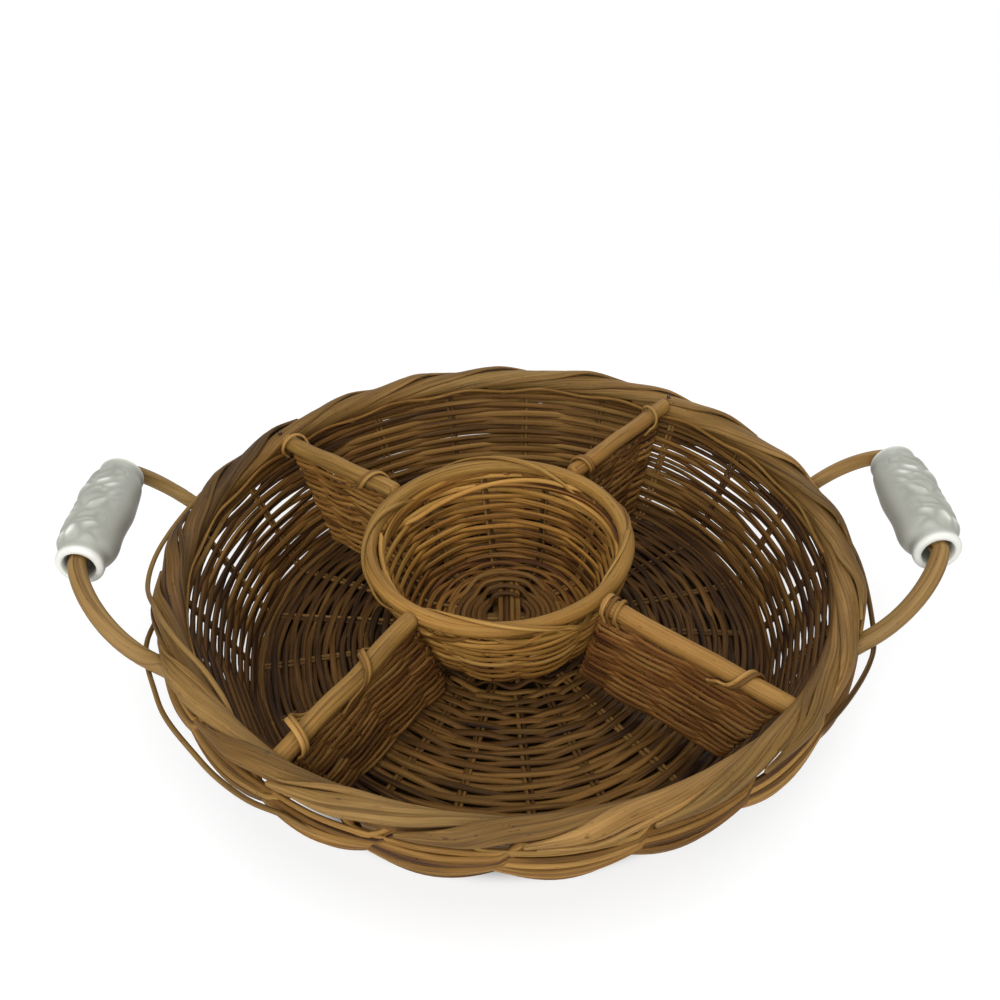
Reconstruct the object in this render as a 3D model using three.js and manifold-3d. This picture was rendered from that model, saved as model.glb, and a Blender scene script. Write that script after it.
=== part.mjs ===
// A round wicker serving basket: four woven compartments round a woven cup, and two rod handles
// with ceramic grips. Millimetres, +Z up, origin on the table under the middle of the basket.

import * as THREE from 'three';
import { mergeVertices } from 'three/addons/utils/BufferGeometryUtils.js';
import Module from 'manifold-3d';

const wasm = await Module();
wasm.setup();

// Driving dimensions

const clearance = 0.3; // between pieces that touch

const rimRadius = 185; // outside of the border
const rimHeight = 75; // middle of the border roll
const rollRadius = 7;
const rollGroove = 1.3; // depth of the grooves between the roll's strands
const lowerRollRadius = 6;
const lowerRollGroove = 1.3;
const lobesPerStake = 2; // bulges of the lower border from one stake to the next

const baseRadius = 146; // where the floor meets the wall
const footHeight = 6; // foot wale under the stakes
const footWidth = 11;
const footShoulder = 2; // bevel along the top edges of the foot wale
const floorCrown = 8; // rise of the floor from its edge to its middle
const floorBend = 7; // how far from the corner a stake starts to bend up

const stakeCount = 21; // odd, so that one weaver changes sides at every round
const stakeWidth = 7; // two rods side by side
const stakeThickness = 3.4;
const stakeInnerRadius = 30;

const weaverWidth = 3.6;
const weaverThickness = 2;
const baseRowPitch = 6;
const wallRowPitch = 5.2;
const wallWeaveStart = 7; // up the slant from the corner

const baseStickDiameter = 4;
const baseStickCount = 5; // in each of the two layers
const baseStickLength = 116;

const hoopRadius = 69;
const hoopHeight = 81;
const hoopDiameter = 8.4;
const cupFootRadius = 51;
const cupBend = 8;
const cupStakeCount = 11; // odd, as round the basket
const cupStakeWidth = 5.6; // two rods side by side
const cupStakeThickness = 2.8;
const cupStakeInnerRadius = 15;
const cupRowPitch = 4.6;
const cupStickDiameter = 3.2;
const cupStickCount = 4; // in each of the two layers
const cupStickLength = 56;

const dividerAngles = [53.5, 143, 233.5, 322].map((angle) => THREE.MathUtils.degToRad(angle));
const barDiameter = 9.6;
const barOuterRise = 1; // bar's outer end above the middle of the border roll
const postCount = 4;
const postDiameter = 3.2;
const dividerRows = 9;
const dividerGap = 0.8; // between a divider's ends and the walls beside it

const rodDiameter = 10.8;
const handleOverhang = 28; // outside of the border to the rod inside the grip
const handleRise = 29; // middle of the border roll to the rod inside the grip
const handleSpread = 64; // from the middle of a handle to each leg
const handleLegStraight = 8; // straight part of a leg outside the border

const gripLength = 78;
const gripDiameter = 29;
const gripEndDiameter = 24;
const gripCollar = 5.5; // length of the plain collar at each end
const gripBore = 15.5;
const gripEdge = 2.5;

// Finishes

const rattan = { color: 0xa87a3f, roughness: 0.62, metalness: 0 };
const paleRattan = { color: 0xbd9150, roughness: 0.55, metalness: 0 };
const darkRattan = { color: 0x7a5426, roughness: 0.68, metalness: 0 };
const ceramic = { color: 0xf1f1ea, roughness: 0.16, metalness: 0 };

const basket = new THREE.Group();

function addPiece(name, geometry, finish, parent = basket) {
  const mesh = new THREE.Mesh(geometry, new THREE.MeshStandardMaterial(finish));
  mesh.name = name;
  parent.add(mesh);
  return mesh;
}

// Shared forms

const up = new THREE.Vector3(0, 0, 1);

function outward(angle) {
  return new THREE.Vector3(Math.cos(angle), Math.sin(angle), 0);
}

function along(angle) {
  return new THREE.Vector3(-Math.sin(angle), Math.cos(angle), 0);
}

// A point of the upright plane at an angle: radius, height and a step sideways.
function inPlane(angle, radius, height, sideways = 0) {
  return outward(angle)
    .multiplyScalar(radius)
    .addScaledVector(along(angle), sideways)
    .addScaledVector(up, height);
}

function signedVolume(points, faces) {
  let volume = 0;
  for (let i = 0; i < faces.length; i += 3) {
    const [a, b, c] = [points[faces[i]], points[faces[i + 1]], points[faces[i + 2]]];
    volume += a.dot(b.clone().cross(c)) / 6;
  }
  return volume;
}

// A closed body through rings of points. A looped one has no ends.
function loft(rings, looped = false) {
  const sides = rings[0].length;
  const points = rings.flat();
  const faces = [];
  const bands = looped ? rings.length : rings.length - 1;
  for (let i = 0; i < bands; i++) {
    const near = i * sides;
    const far = ((i + 1) % rings.length) * sides;
    for (let j = 0; j < sides; j++) {
      const k = (j + 1) % sides;
      faces.push(near + j, near + k, far + k);
      faces.push(near + j, far + k, far + j);
    }
  }
  if (!looped) {
    for (const [ring, reversed] of [[0, true], [rings.length - 1, false]]) {
      const middle = points.length;
      const centre = new THREE.Vector3();
      rings[ring].forEach((point) => centre.addScaledVector(point, 1 / sides));
      points.push(centre);
      for (let j = 0; j < sides; j++) {
        const [a, b] = [ring * sides + j, ring * sides + ((j + 1) % sides)];
        faces.push(...(reversed ? [middle, b, a] : [middle, a, b]));
      }
    }
  }
  if (signedVolume(points, faces) < 0) {
    faces.reverse();
  }
  const geometry = new THREE.BufferGeometry().setFromPoints(points);
  geometry.setIndex(faces);
  geometry.computeVertexNormals();
  return geometry;
}

// Corners of a round section, in the plane of two directions.
function roundRing(centre, sideways, upwards, radius, sides) {
  return Array.from({ length: sides }, (_, i) => {
    const angle = (2 * Math.PI * (i + 0.5)) / sides;
    return centre
      .clone()
      .addScaledVector(sideways, radius * Math.cos(angle))
      .addScaledVector(upwards, radius * Math.sin(angle));
  });
}

// Corners of a strand's flat section.
function flatRing(centre, across, through, width = weaverWidth, thickness = weaverThickness) {
  return [[-1, -1], [1, -1], [1, 1], [-1, 1]].map(([a, b]) =>
    centre
      .clone()
      .addScaledVector(across, (a * width) / 2)
      .addScaledVector(through, (b * thickness) / 2),
  );
}

function straightRod(from, to, diameter, sides) {
  const run = to.clone().sub(from).normalize();
  const sideways = new THREE.Vector3().crossVectors(run, Math.abs(run.z) > 0.9 ? outward(0) : up);
  sideways.normalize();
  const upwards = new THREE.Vector3().crossVectors(sideways, run);
  return loft([from, to].map((end) => roundRing(end, sideways, upwards, diameter / 2, sides)));
}

// A profile in radius and height: straight, round the corner, and straight again.
function bentProfile(start, corner, end, setback) {
  const path = new THREE.Path();
  const into = corner.clone().sub(start).setLength(setback);
  const outOf = end.clone().sub(corner).setLength(setback);
  path.moveTo(start.x, start.y);
  path.lineTo(corner.x - into.x, corner.y - into.y);
  path.quadraticCurveTo(corner.x, corner.y, corner.x + outOf.x, corner.y + outOf.y);
  path.lineTo(end.x, end.y);
  const lengths = path.getCurveLengths();
  const total = lengths[lengths.length - 1];
  const at = (travel) => {
    const share = THREE.MathUtils.clamp(travel / total, 0, 1);
    const point = path.getPoint(share);
    const run = path.getTangent(share);
    return { radius: point.x, height: point.y, run };
  };
  return { at, total, bendStart: lengths[0], bendEnd: lengths[1] };
}

// The profile's place at an angle, with its direction and its outer normal in space.
function placeOn(profile, travel, angle) {
  const { radius, height, run } = profile.at(travel);
  return {
    radius,
    point: inPlane(angle, radius, height),
    run: outward(angle).multiplyScalar(run.x).addScaledVector(up, run.y),
    normal: outward(angle).multiplyScalar(run.y).addScaledVector(up, -run.x),
  };
}

// How far a weaver swings to each side to clear the edges of the stakes that it passes.
function weaveSwing(radius, count, width, thickness) {
  const chord = 2 * radius * Math.sin(Math.PI / count);
  const lift = (thickness + weaverThickness) / 2 + clearance;
  return lift / (1 - width / chord);
}

// A weaver that spirals over a ring of stakes and changes sides at each one.
function spiralWeaver({ profile, count, width, thickness, from, to, pitch, firstSide = 1 }) {
  const crossings = Math.round(((to - from) / pitch) * count);
  const rings = [];
  for (let i = 0; i <= crossings; i++) {
    const angle = (2 * Math.PI * i) / count;
    const place = placeOn(profile, from + (pitch * i) / count, angle);
    const side = i % 2 === 0 ? firstSide : -firstSide;
    const swing = side * weaveSwing(place.radius, count, width, thickness);
    rings.push(flatRing(place.point.addScaledVector(place.normal, swing), place.run, place.normal));
  }
  return loft(rings);
}

const ropeStrands = 3;

// A ring of twisted strands, whole or between two angles. The lead turns a strand towards a side.
function ropeRing({ radius, height, section, groove, sides, turns, steps, lead = 0, from, to }) {
  const whole = to - from > 2 * Math.PI - 1e-6;
  const rings = [];
  for (let i = 0; i < steps + (whole ? 0 : 1); i++) {
    const angle = from + ((to - from) * i) / steps;
    const twist = lead + turns * angle;
    const ring = [];
    for (let j = 0; j < sides; j++) {
      const around = twist + (2 * Math.PI * j) / sides;
      const reach = section - (j % (sides / ropeStrands) === 0 ? groove : 0);
      ring.push(inPlane(angle, radius + reach * Math.cos(around), height + reach * Math.sin(around)));
    }
    rings.push(ring);
  }
  return loft(rings, whole);
}

// Boolean joins

function toSolid(geometry) {
  const bare = geometry.clone();
  bare.deleteAttribute('normal');
  bare.deleteAttribute('uv');
  const merged = mergeVertices(bare, 1e-4);
  const vertProperties = new Float32Array(merged.getAttribute('position').array);
  const triVerts = new Uint32Array(merged.getIndex().array);
  return new wasm.Manifold(new wasm.Mesh({ numProp: 3, vertProperties, triVerts }));
}

function toGeometry(solid) {
  const mesh = solid.getMesh();
  const geometry = new THREE.BufferGeometry();
  geometry.setAttribute('position', new THREE.BufferAttribute(mesh.vertProperties, mesh.numProp));
  geometry.setIndex(new THREE.BufferAttribute(mesh.triVerts, 1));
  geometry.computeVertexNormals();
  return geometry;
}

function joined(geometries) {
  const solids = geometries.map(toSolid);
  return toGeometry(solids.reduce((whole, solid) => whole.add(solid)));
}

// Floor and wall

// The straight part of each stake lies on the inner shoulder of the foot wale.
const floorSeatRadius = baseRadius - floorBend;
const floorSeatHeight = footHeight + clearance + stakeThickness / 2;
const floorEdgeHeight = floorSeatHeight - floorCrown * (1 - floorSeatRadius / baseRadius);
const rollCentreRadius = rimRadius - rollRadius;

function floorHeight(radius) {
  return floorEdgeHeight + floorCrown * (1 - radius / baseRadius);
}

// The stakes run on towards the middle of the border roll and stop just under it.
const floorCorner = new THREE.Vector2(baseRadius, floorEdgeHeight);
const rollCentre = new THREE.Vector2(rollCentreRadius, rimHeight);
const wallSlant = rollCentre.distanceTo(floorCorner);
const wallRun = rollCentre.clone().sub(floorCorner).normalize();
const stakeTop = rollCentre.clone().addScaledVector(wallRun, -(rollRadius + clearance));
const stakeFoot = new THREE.Vector2(stakeInnerRadius, floorHeight(stakeInnerRadius));
const stakeProfile = bentProfile(stakeFoot, floorCorner, stakeTop, floorBend);

// Two rods side by side: each lobe is half of the width.
function pairedRing(place, angle, width, thickness) {
  const half = width / 2;
  const thick = thickness / 2;
  const outline = [
    [half, 0], [half / 2, thick], [0, thick / 2], [-half / 2, thick],
    [-half, 0], [-half / 2, -thick], [0, -thick / 2], [half / 2, -thick],
  ];
  return outline.map(([sideways, through]) =>
    place.point.clone().addScaledVector(along(angle), sideways).addScaledVector(place.normal, through),
  );
}

// Stakes stand round the middle, from the floor up the wall.
function addStakes(name, { profile, count, width, thickness }) {
  const { bendStart, bendEnd, total } = profile;
  const stations = [0, bendStart, (bendStart + bendEnd) / 2, bendEnd, total];
  for (let i = 0; i < count; i++) {
    const angle = (2 * Math.PI * i) / count;
    const rings = stations.map((travel) =>
      pairedRing(placeOn(profile, travel, angle), angle, width, thickness),
    );
    addPiece(`${name}_${String(i + 1).padStart(2, '0')}`, loft(rings), darkRattan);
  }
}

// The lower border lies outside the stakes and under the border roll.
const lowerOffset = stakeThickness / 2 + clearance + lowerRollRadius;
const lowerDrop = Math.sqrt((rollRadius + lowerRollRadius + clearance) ** 2 - lowerOffset ** 2);

const stakes = {
  profile: stakeProfile,
  count: stakeCount,
  width: stakeWidth,
  thickness: stakeThickness,
};
addStakes('stake_pair', stakes);

const wallWeaveReach = weaveSwing(baseRadius, stakeCount, stakeWidth, stakeThickness);
const wallRadius = (height) => baseRadius + ((height - floorEdgeHeight) * wallRun.x) / wallRun.y;
const cornerTravel = (stakeProfile.bendStart + stakeProfile.bendEnd) / 2;
const footInnerRadius = floorSeatRadius - footShoulder;
const rowMargin = weaverWidth / 2 + clearance; // from a row's middle to what it stops at
const baseWeaveEnd = footInnerRadius - rowMargin;

// A weaver runs straight from stake to stake, so its first round starts wider than the sticks' corners.
function weaveStart({ stickLength, stickCount, stickDiameter, count }) {
  const corner = Math.hypot(stickLength, stickCount * stickDiameter) / 2;
  return (corner + rowMargin) / Math.cos(Math.PI / count);
}

const baseSticks = {
  stickLength: baseStickLength,
  stickCount: baseStickCount,
  stickDiameter: baseStickDiameter,
};
const baseWeaveStart = weaveStart({ ...baseSticks, count: stakeCount });
const toFloorTravel = (radius) =>
  (radius - stakeInnerRadius) * Math.hypot(1, floorCrown / baseRadius);

const baseWeaver = spiralWeaver({
  ...stakes,
  from: toFloorTravel(baseWeaveStart),
  to: toFloorTravel(baseWeaveEnd),
  pitch: baseRowPitch,
});
addPiece('base_weaver', baseWeaver, darkRattan);

const sideWeaver = spiralWeaver({
  ...stakes,
  from: cornerTravel + wallWeaveStart,
  to: cornerTravel + wallSlant - lowerDrop - lowerRollRadius - rowMargin,
  pitch: wallRowPitch,
});
addPiece('side_weaver', sideWeaver, darkRattan);

// Foot wale: a ring with a flat underside and rounded shoulders.
const footOuterRadius = footInnerRadius + footWidth;
const footOutline = [
  [footInnerRadius, 0],
  [footOuterRadius, 0],
  [footOuterRadius, footHeight - footShoulder],
  [footOuterRadius - footShoulder, footHeight],
  [footInnerRadius + footShoulder, footHeight],
  [footInnerRadius, footHeight - footShoulder],
  [footInnerRadius, 0],
].map(([x, y]) => new THREE.Vector2(x, y));
const footSteps = 40;
const footWale = new THREE.LatheGeometry(footOutline, footSteps);
footWale.rotateX(Math.PI / 2);
addPiece('foot_wale', footWale, darkRattan);

// Crossed base sticks, one layer under the stakes' inner ends and one over them.
function stickBundle({ stickLength, stickCount, stickDiameter }) {
  const radius = stickDiameter / 2;
  const notch = radius / 2;
  const lobe = [[0, notch], [radius / 2, radius], [1.5 * radius, radius]];
  const upper = [];
  for (let i = 0; i < stickCount; i++) {
    const left = (i - stickCount / 2) * stickDiameter;
    upper.push(...lobe.map(([x, y]) => new THREE.Vector2(left + x, y)));
  }
  upper.push(new THREE.Vector2((stickCount / 2) * stickDiameter, notch));
  const lower = upper.map(({ x, y }) => new THREE.Vector2(x, -y));
  const outline = new THREE.Shape([...lower, ...upper.reverse()]);
  const bundle = new THREE.ExtrudeGeometry(outline, { depth: stickLength, bevelEnabled: false });
  bundle.translate(0, 0, -stickLength / 2);
  bundle.rotateX(Math.PI / 2);
  return bundle;
}

function addSticks(name, sticks, upperHeight, lowerHeight) {
  const upper = addPiece(`${name}_upper`, stickBundle(sticks), darkRattan);
  upper.position.z = upperHeight;
  const lower = addPiece(`${name}_lower`, stickBundle(sticks), darkRattan);
  lower.rotation.z = Math.PI / 2;
  lower.position.z = lowerHeight;
}

const stickGap = clearance + (stakeThickness + baseStickDiameter) / 2;
const upperSticksHeight = floorHeight(stakeInnerRadius) + stickGap;
addSticks('base_sticks', baseSticks, upperSticksHeight, floorHeight(baseStickLength / 2) - stickGap);

// Border

const rollSteps = 3 * stakeCount;
const borderRoll = ropeRing({
  radius: rollCentreRadius,
  height: rimHeight,
  section: rollRadius,
  groove: rollGroove,
  sides: 9,
  turns: Math.round(stakeCount / ropeStrands),
  steps: rollSteps,
  from: 0,
  to: 2 * Math.PI,
});
addPiece('border_roll', borderRoll, paleRattan);

// Handle plane: from the legs' feet under the border roll up and out to the grip.
const rodRadius = rodDiameter / 2;
const handleTop = new THREE.Vector2(rimRadius + handleOverhang, rimHeight + handleRise);

// A leg passes the roll at its own distance: the line from the grip that just clears the roll.
const legRollRadius = Math.sqrt(rollCentreRadius ** 2 - handleSpread ** 2);
const rollAtLeg = new THREE.Vector2(legRollRadius, rimHeight);
const toRoll = rollAtLeg.clone().sub(handleTop);
const passGap = rollRadius + rodRadius + clearance;
const slip = Math.asin(passGap / toRoll.length());
const legHeading = toRoll.clone().rotateAround(new THREE.Vector2(), slip).normalize();
const legPass = Math.sqrt(toRoll.lengthSq() - passGap ** 2);
const handleUp = legHeading.clone().negate();

function onHandle(reach, sideways) {
  const place = handleTop.clone().addScaledVector(handleUp, reach - legPass);
  return new THREE.Vector3(place.x, sideways, place.y);
}

// A leg runs on past the roll until its end meets the outside of the woven wall.
function gapToWall(reach) {
  const { x, y, z } = onHandle(reach, handleSpread);
  return (Math.hypot(x, y) - wallRadius(z)) * wallRun.y - rodRadius;
}

const legSeat = wallWeaveReach + weaverThickness / 2 + clearance;
const legCloses = (gapToWall(0) - gapToWall(-rodDiameter)) / rodDiameter;
const handleStub = (gapToWall(0) - legSeat) / legCloses;

const gripHalf = gripLength / 2;
const legRise = legPass - handleLegStraight;
const legSweep = handleSpread - gripHalf;
const legArcSteps = 6;

function handleRoute() {
  const half = [onHandle(-handleStub, handleSpread), onHandle(0, handleSpread)];
  for (let i = 0; i <= legArcSteps; i++) {
    const turn = ((Math.PI / 2) * i) / legArcSteps;
    const reach = handleLegStraight + legRise * Math.sin(turn);
    half.push(onHandle(reach, gripHalf + legSweep * Math.cos(turn)));
  }
  const mirrored = half.map((point) => new THREE.Vector3(point.x, -point.y, point.z)).reverse();
  return [...half, ...mirrored];
}

const rodSides = 8;

function handleRod() {
  const route = handleRoute();
  const sideways = new THREE.Vector3(handleUp.y, 0, -handleUp.x);
  const rings = route.map((point, i) => {
    const before = route[Math.max(i - 1, 0)];
    const after = route[Math.min(i + 1, route.length - 1)];
    const run = after.clone().sub(before).normalize();
    const across = new THREE.Vector3().crossVectors(run, sideways);
    return roundRing(point, sideways, across, rodRadius, rodSides);
  });
  return loft(rings);
}

// Grip: a barrel with rounded ends and a plain collar at each.
function gripSleeve() {
  const outer = gripDiameter / 2;
  const end = gripEndDiameter / 2;
  const bore = gripBore / 2;
  const half = [
    [bore, gripHalf - gripEdge / 2],
    [bore + gripEdge / 2, gripHalf],
    [end - gripEdge, gripHalf],
    [end, gripHalf - gripEdge],
    [end, gripHalf - gripCollar],
    [THREE.MathUtils.lerp(end, outer, 0.6), gripHalf - 2 * gripCollar],
    [THREE.MathUtils.lerp(end, outer, 0.85), gripHalf - 3 * gripCollar],
    [outer, gripHalf - 4.5 * gripCollar],
  ];
  const lower = half.map(([x, y]) => [x, -y]);
  const outline = [...lower, ...half.reverse(), lower[0]];
  const gripSegments = 16;
  return new THREE.LatheGeometry(outline.map(([x, y]) => new THREE.Vector2(x, y)), gripSegments);
}

// The bore is wider than the rod, so the sleeve hangs on it.
const gripDrop = (gripBore - rodDiameter) / 2 - clearance;

for (const [name, turn] of [['right', 0], ['left', Math.PI]]) {
  const handle = new THREE.Group();
  handle.rotation.z = turn;
  basket.add(handle);
  addPiece(`${name}_handle_rod`, handleRod(), rattan, handle);
  const grip = addPiece(`${name}_handle_grip`, gripSleeve(), ceramic, handle);
  grip.position.set(handleTop.x, 0, handleTop.y - gripDrop);
}

// Lower border: four stretches outside the wall, each stopping beside the handle legs.
const lowerCentre = rollCentre
  .clone()
  .addScaledVector(wallRun, -lowerDrop)
  .add(new THREE.Vector2(wallRun.y, -wallRun.x).multiplyScalar(lowerOffset));
const legAngle = (radius) => Math.asin(handleSpread / radius);
const legWidthAngle = (rodRadius + clearance) / Math.cos(legAngle(lowerCentre.x)) / lowerCentre.x;
const legGap = [
  legAngle(lowerCentre.x + lowerRollRadius) - legWidthAngle,
  legAngle(lowerCentre.x - lowerRollRadius) + legWidthAngle,
];
const lowerSides = 6;
const stretches = [
  ['right', -legGap[0], legGap[0], 12],
  ['back', legGap[1], Math.PI - legGap[1], 39],
  ['left', Math.PI - legGap[0], Math.PI + legGap[0], 12],
  ['front', Math.PI + legGap[1], 2 * Math.PI - legGap[1], 39],
];
for (const [name, from, to, steps] of stretches) {
  const stretch = ropeRing({
    radius: lowerCentre.x,
    height: lowerCentre.y,
    section: lowerRollRadius,
    groove: lowerRollGroove,
    sides: lowerSides,
    turns: (lobesPerStake * stakeCount) / ropeStrands,
    lead: Math.PI - Math.atan2(wallRun.x, wallRun.y) - Math.PI / ropeStrands,
    steps,
    from,
    to,
  });
  addPiece(`lower_border_${name}`, stretch, rattan);
}

// Cup: made as the basket is, on crossed sticks that lie on the base sticks.

const cupSticks = {
  stickLength: cupStickLength,
  stickCount: cupStickCount,
  stickDiameter: cupStickDiameter,
};
const cupStakes = { count: cupStakeCount, width: cupStakeWidth, thickness: cupStakeThickness };
const cupWeaveStart = weaveStart({ ...cupSticks, count: cupStakeCount });
const cupStickGap = clearance + (cupStakeThickness + cupStickDiameter) / 2;
const cupFloorSwing = weaveSwing(cupWeaveStart, cupStakeCount, cupStakeWidth, cupStakeThickness);
const cupFloorDepth = Math.max(cupStickGap + cupStickDiameter / 2, cupFloorSwing + weaverThickness / 2);
const baseSticksTop = upperSticksHeight + baseStickDiameter / 2;
const cupFloorHeight = baseSticksTop + clearance + cupFloorDepth;
addSticks('cup_sticks', cupSticks, cupFloorHeight + cupStickGap, cupFloorHeight - cupStickGap);

const hoopCentre = new THREE.Vector2(hoopRadius, hoopHeight);
const cupCorner = new THREE.Vector2(cupFootRadius, cupFloorHeight);
const cupRun = hoopCentre.clone().sub(cupCorner).normalize();
const cupStakeTop = hoopCentre.clone().addScaledVector(cupRun, -(hoopDiameter / 2 + clearance));
const cupStakeFoot = new THREE.Vector2(cupStakeInnerRadius, cupFloorHeight);
cupStakes.profile = bentProfile(cupStakeFoot, cupCorner, cupStakeTop, cupBend);
addStakes('cup_stake_pair', cupStakes);

const cupWeaver = spiralWeaver({
  ...cupStakes,
  from: cupWeaveStart - cupStakeInnerRadius,
  to: cupStakes.profile.total - rowMargin,
  pitch: cupRowPitch,
});
addPiece('cup_weaver', cupWeaver, rattan);

const hoopSteps = 36;
const hoopSides = 7;
const cupHoop = new THREE.TorusGeometry(hoopRadius, hoopDiameter / 2, hoopSides, hoopSteps);
cupHoop.translate(0, 0, hoopHeight);
addPiece('cup_hoop', cupHoop, paleRattan);

// Dividers

const postRadius = postDiameter / 2;
const dividerSwing = weaveSwing(Infinity, stakeCount, postDiameter, postDiameter);
const dividerWrap = dividerSwing / Math.cos(Math.PI / 6);
const endReach = dividerWrap + weaverThickness / 2 + dividerGap;

function floorTop(radius) {
  const swing = weaveSwing(radius, stakeCount, stakeWidth, stakeThickness);
  return floorHeight(radius) + swing + weaverThickness / 2;
}

// Faces of the cup and of the basket's wall at a height.
const cupWeaveReach = weaveSwing(cupFootRadius, cupStakeCount, cupStakeWidth, cupStakeThickness);

function cupFace(height) {
  const mid = cupFootRadius + ((height - cupFloorHeight) * cupRun.x) / cupRun.y;
  return Math.max(mid, cupFootRadius) + (cupWeaveReach + weaverThickness / 2) / cupRun.y;
}

function wallFace(height) {
  return wallRadius(height) - (wallWeaveReach + weaverThickness / 2) / wallRun.y;
}

// A bar butts against the hoop and the border roll.
const barInnerHeight = hoopHeight;
const barOuterHeight = rimHeight + barOuterRise;
const hoopFace = hoopRadius + hoopDiameter / 2 + barDiameter ** 2 / (8 * hoopRadius);
const rollFace = rollCentreRadius - rollRadius;
const barInnerRadius = hoopFace + clearance;
const barOuterRadius = rollFace - clearance;
const barSlope = (barOuterHeight - barInnerHeight) / (barOuterRadius - barInnerRadius);
const barHeight = (radius) => barInnerHeight + (radius - barInnerRadius) * barSlope;

// Posts lean with the cup at one end and with the wall at the other, so their square ends dip.
const innerFootRadius = cupFace(cupFloorHeight) + endReach;
const innerFootHeight = floorTop(innerFootRadius) + clearance + postRadius * cupRun.x;
const outerFootHeight = floorTop(wallFace(floorEdgeHeight) - endReach) + clearance + postRadius * wallRun.x;
const hoopClear = hoopRadius + hoopDiameter / 2 + postRadius + clearance;
const panel = {
  feet: [innerFootRadius, wallFace(outerFootHeight) - endReach],
  feetHeight: [innerFootHeight, outerFootHeight],
  tops: [
    Math.max(cupFace(barInnerHeight) + endReach, hoopClear),
    wallFace(barOuterHeight - barDiameter / 2 - weaverWidth) - endReach,
  ],
};

function postPoint(share, rise) {
  const foot = THREE.MathUtils.lerp(panel.feet[0], panel.feet[1], share);
  const footHeightHere = THREE.MathUtils.lerp(panel.feetHeight[0], panel.feetHeight[1], share);
  const top = THREE.MathUtils.lerp(panel.tops[0], panel.tops[1], share);
  const radius = THREE.MathUtils.lerp(foot, top, rise);
  const height = THREE.MathUtils.lerp(footHeightHere, barHeight(top), rise);
  return new THREE.Vector3(radius, 0, height);
}

function postLean(share) {
  return postPoint(share, 1).sub(postPoint(share, 0)).normalize();
}

function dividerFrame() {
  const ends = [barInnerRadius, barOuterRadius].map((x) => new THREE.Vector3(x, 0, barHeight(x)));
  const barSides = 10;
  const postSides = 6;
  const solids = [straightRod(ends[0], ends[1], barDiameter, barSides)];
  for (let i = 0; i < postCount; i++) {
    const share = i / (postCount - 1);
    solids.push(straightRod(postPoint(share, 0), postPoint(share, 1), postDiameter, postSides));
  }
  return joined(solids);
}

// One strand goes to and fro past the posts and turns round the last one of each row.
function dividerWeaver() {
  const spine = [];
  const rise = Math.min(...panel.tops.map((top, end) => barHeight(top) - panel.feetHeight[end]));
  const firstRow = (weaverWidth / 2 + clearance) / rise;
  const lastRow = 1 - (barDiameter / 2 + weaverWidth / 2 + clearance) / rise;
  const turnSteps = 3;
  for (let row = 0; row < dividerRows; row++) {
    const level = (step) => firstRow + ((lastRow - firstRow) * (row + step)) / (dividerRows - 1);
    const forward = row % 2 === 0;
    for (let i = 0; i < postCount; i++) {
      const post = forward ? i : postCount - 1 - i;
      const side = (post + row) % 2 === 0 ? 1 : -1;
      const point = postPoint(post / (postCount - 1), level(0));
      point.y = side * dividerWrap;
      spine.push({ point, lean: postLean(post / (postCount - 1)) });
    }
    if (row < dividerRows - 1) {
      const last = forward ? postCount - 1 : 0;
      const side = (last + row) % 2 === 0 ? 1 : -1;
      const heading = forward ? 1 : -1;
      for (let step = 1; step < turnSteps; step++) {
        const turn = (Math.PI * step) / turnSteps;
        const point = postPoint(last / (postCount - 1), level(step / turnSteps));
        point.x += heading * dividerWrap * Math.sin(turn);
        point.y = side * dividerWrap * Math.cos(turn);
        spine.push({ point, lean: postLean(last / (postCount - 1)) });
      }
    }
  }
  const rings = spine.map(({ point, lean }, i) => {
    const before = spine[Math.max(i - 1, 0)].point;
    const after = spine[Math.min(i + 1, spine.length - 1)].point;
    const run = after.clone().sub(before).setZ(0).normalize();
    const through = new THREE.Vector3().crossVectors(run, up);
    return flatRing(point, lean, through);
  });
  return loft(rings);
}

for (const [i, angle] of dividerAngles.entries()) {
  const divider = new THREE.Group();
  divider.rotation.z = angle;
  basket.add(divider);
  addPiece(`divider_frame_${i + 1}`, dividerFrame(), paleRattan, divider);
  addPiece(`divider_weaver_${i + 1}`, dividerWeaver(), rattan, divider);
}

export default basket;
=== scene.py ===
import math
import bpy
import numpy as np
from mathutils import Matrix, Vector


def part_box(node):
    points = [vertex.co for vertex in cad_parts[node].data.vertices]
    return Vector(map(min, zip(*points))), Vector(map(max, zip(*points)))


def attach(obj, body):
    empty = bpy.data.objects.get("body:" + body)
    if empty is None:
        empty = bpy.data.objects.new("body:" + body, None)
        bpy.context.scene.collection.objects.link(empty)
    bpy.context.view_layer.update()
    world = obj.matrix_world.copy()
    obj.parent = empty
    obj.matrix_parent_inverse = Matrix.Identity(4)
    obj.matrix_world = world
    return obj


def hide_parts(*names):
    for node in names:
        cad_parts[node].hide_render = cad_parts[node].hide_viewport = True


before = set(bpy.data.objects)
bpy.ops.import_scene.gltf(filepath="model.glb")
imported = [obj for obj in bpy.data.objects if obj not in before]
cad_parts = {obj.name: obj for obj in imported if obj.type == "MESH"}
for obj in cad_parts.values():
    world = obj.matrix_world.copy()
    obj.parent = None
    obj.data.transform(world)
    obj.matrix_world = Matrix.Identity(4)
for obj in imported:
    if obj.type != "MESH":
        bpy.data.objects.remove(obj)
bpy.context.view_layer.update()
print("basket: frame loaded")

# Metres, +Z up, as in the frame

fullTurn = 2 * math.pi
join = np.concatenate
up = np.array([0.0, 0.0, 1.0])


def unit(vectors):
    return vectors / np.linalg.norm(vectors, axis=-1, keepdims=True)


def between(low, high, share):
    return low + (high - low) * share


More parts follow.
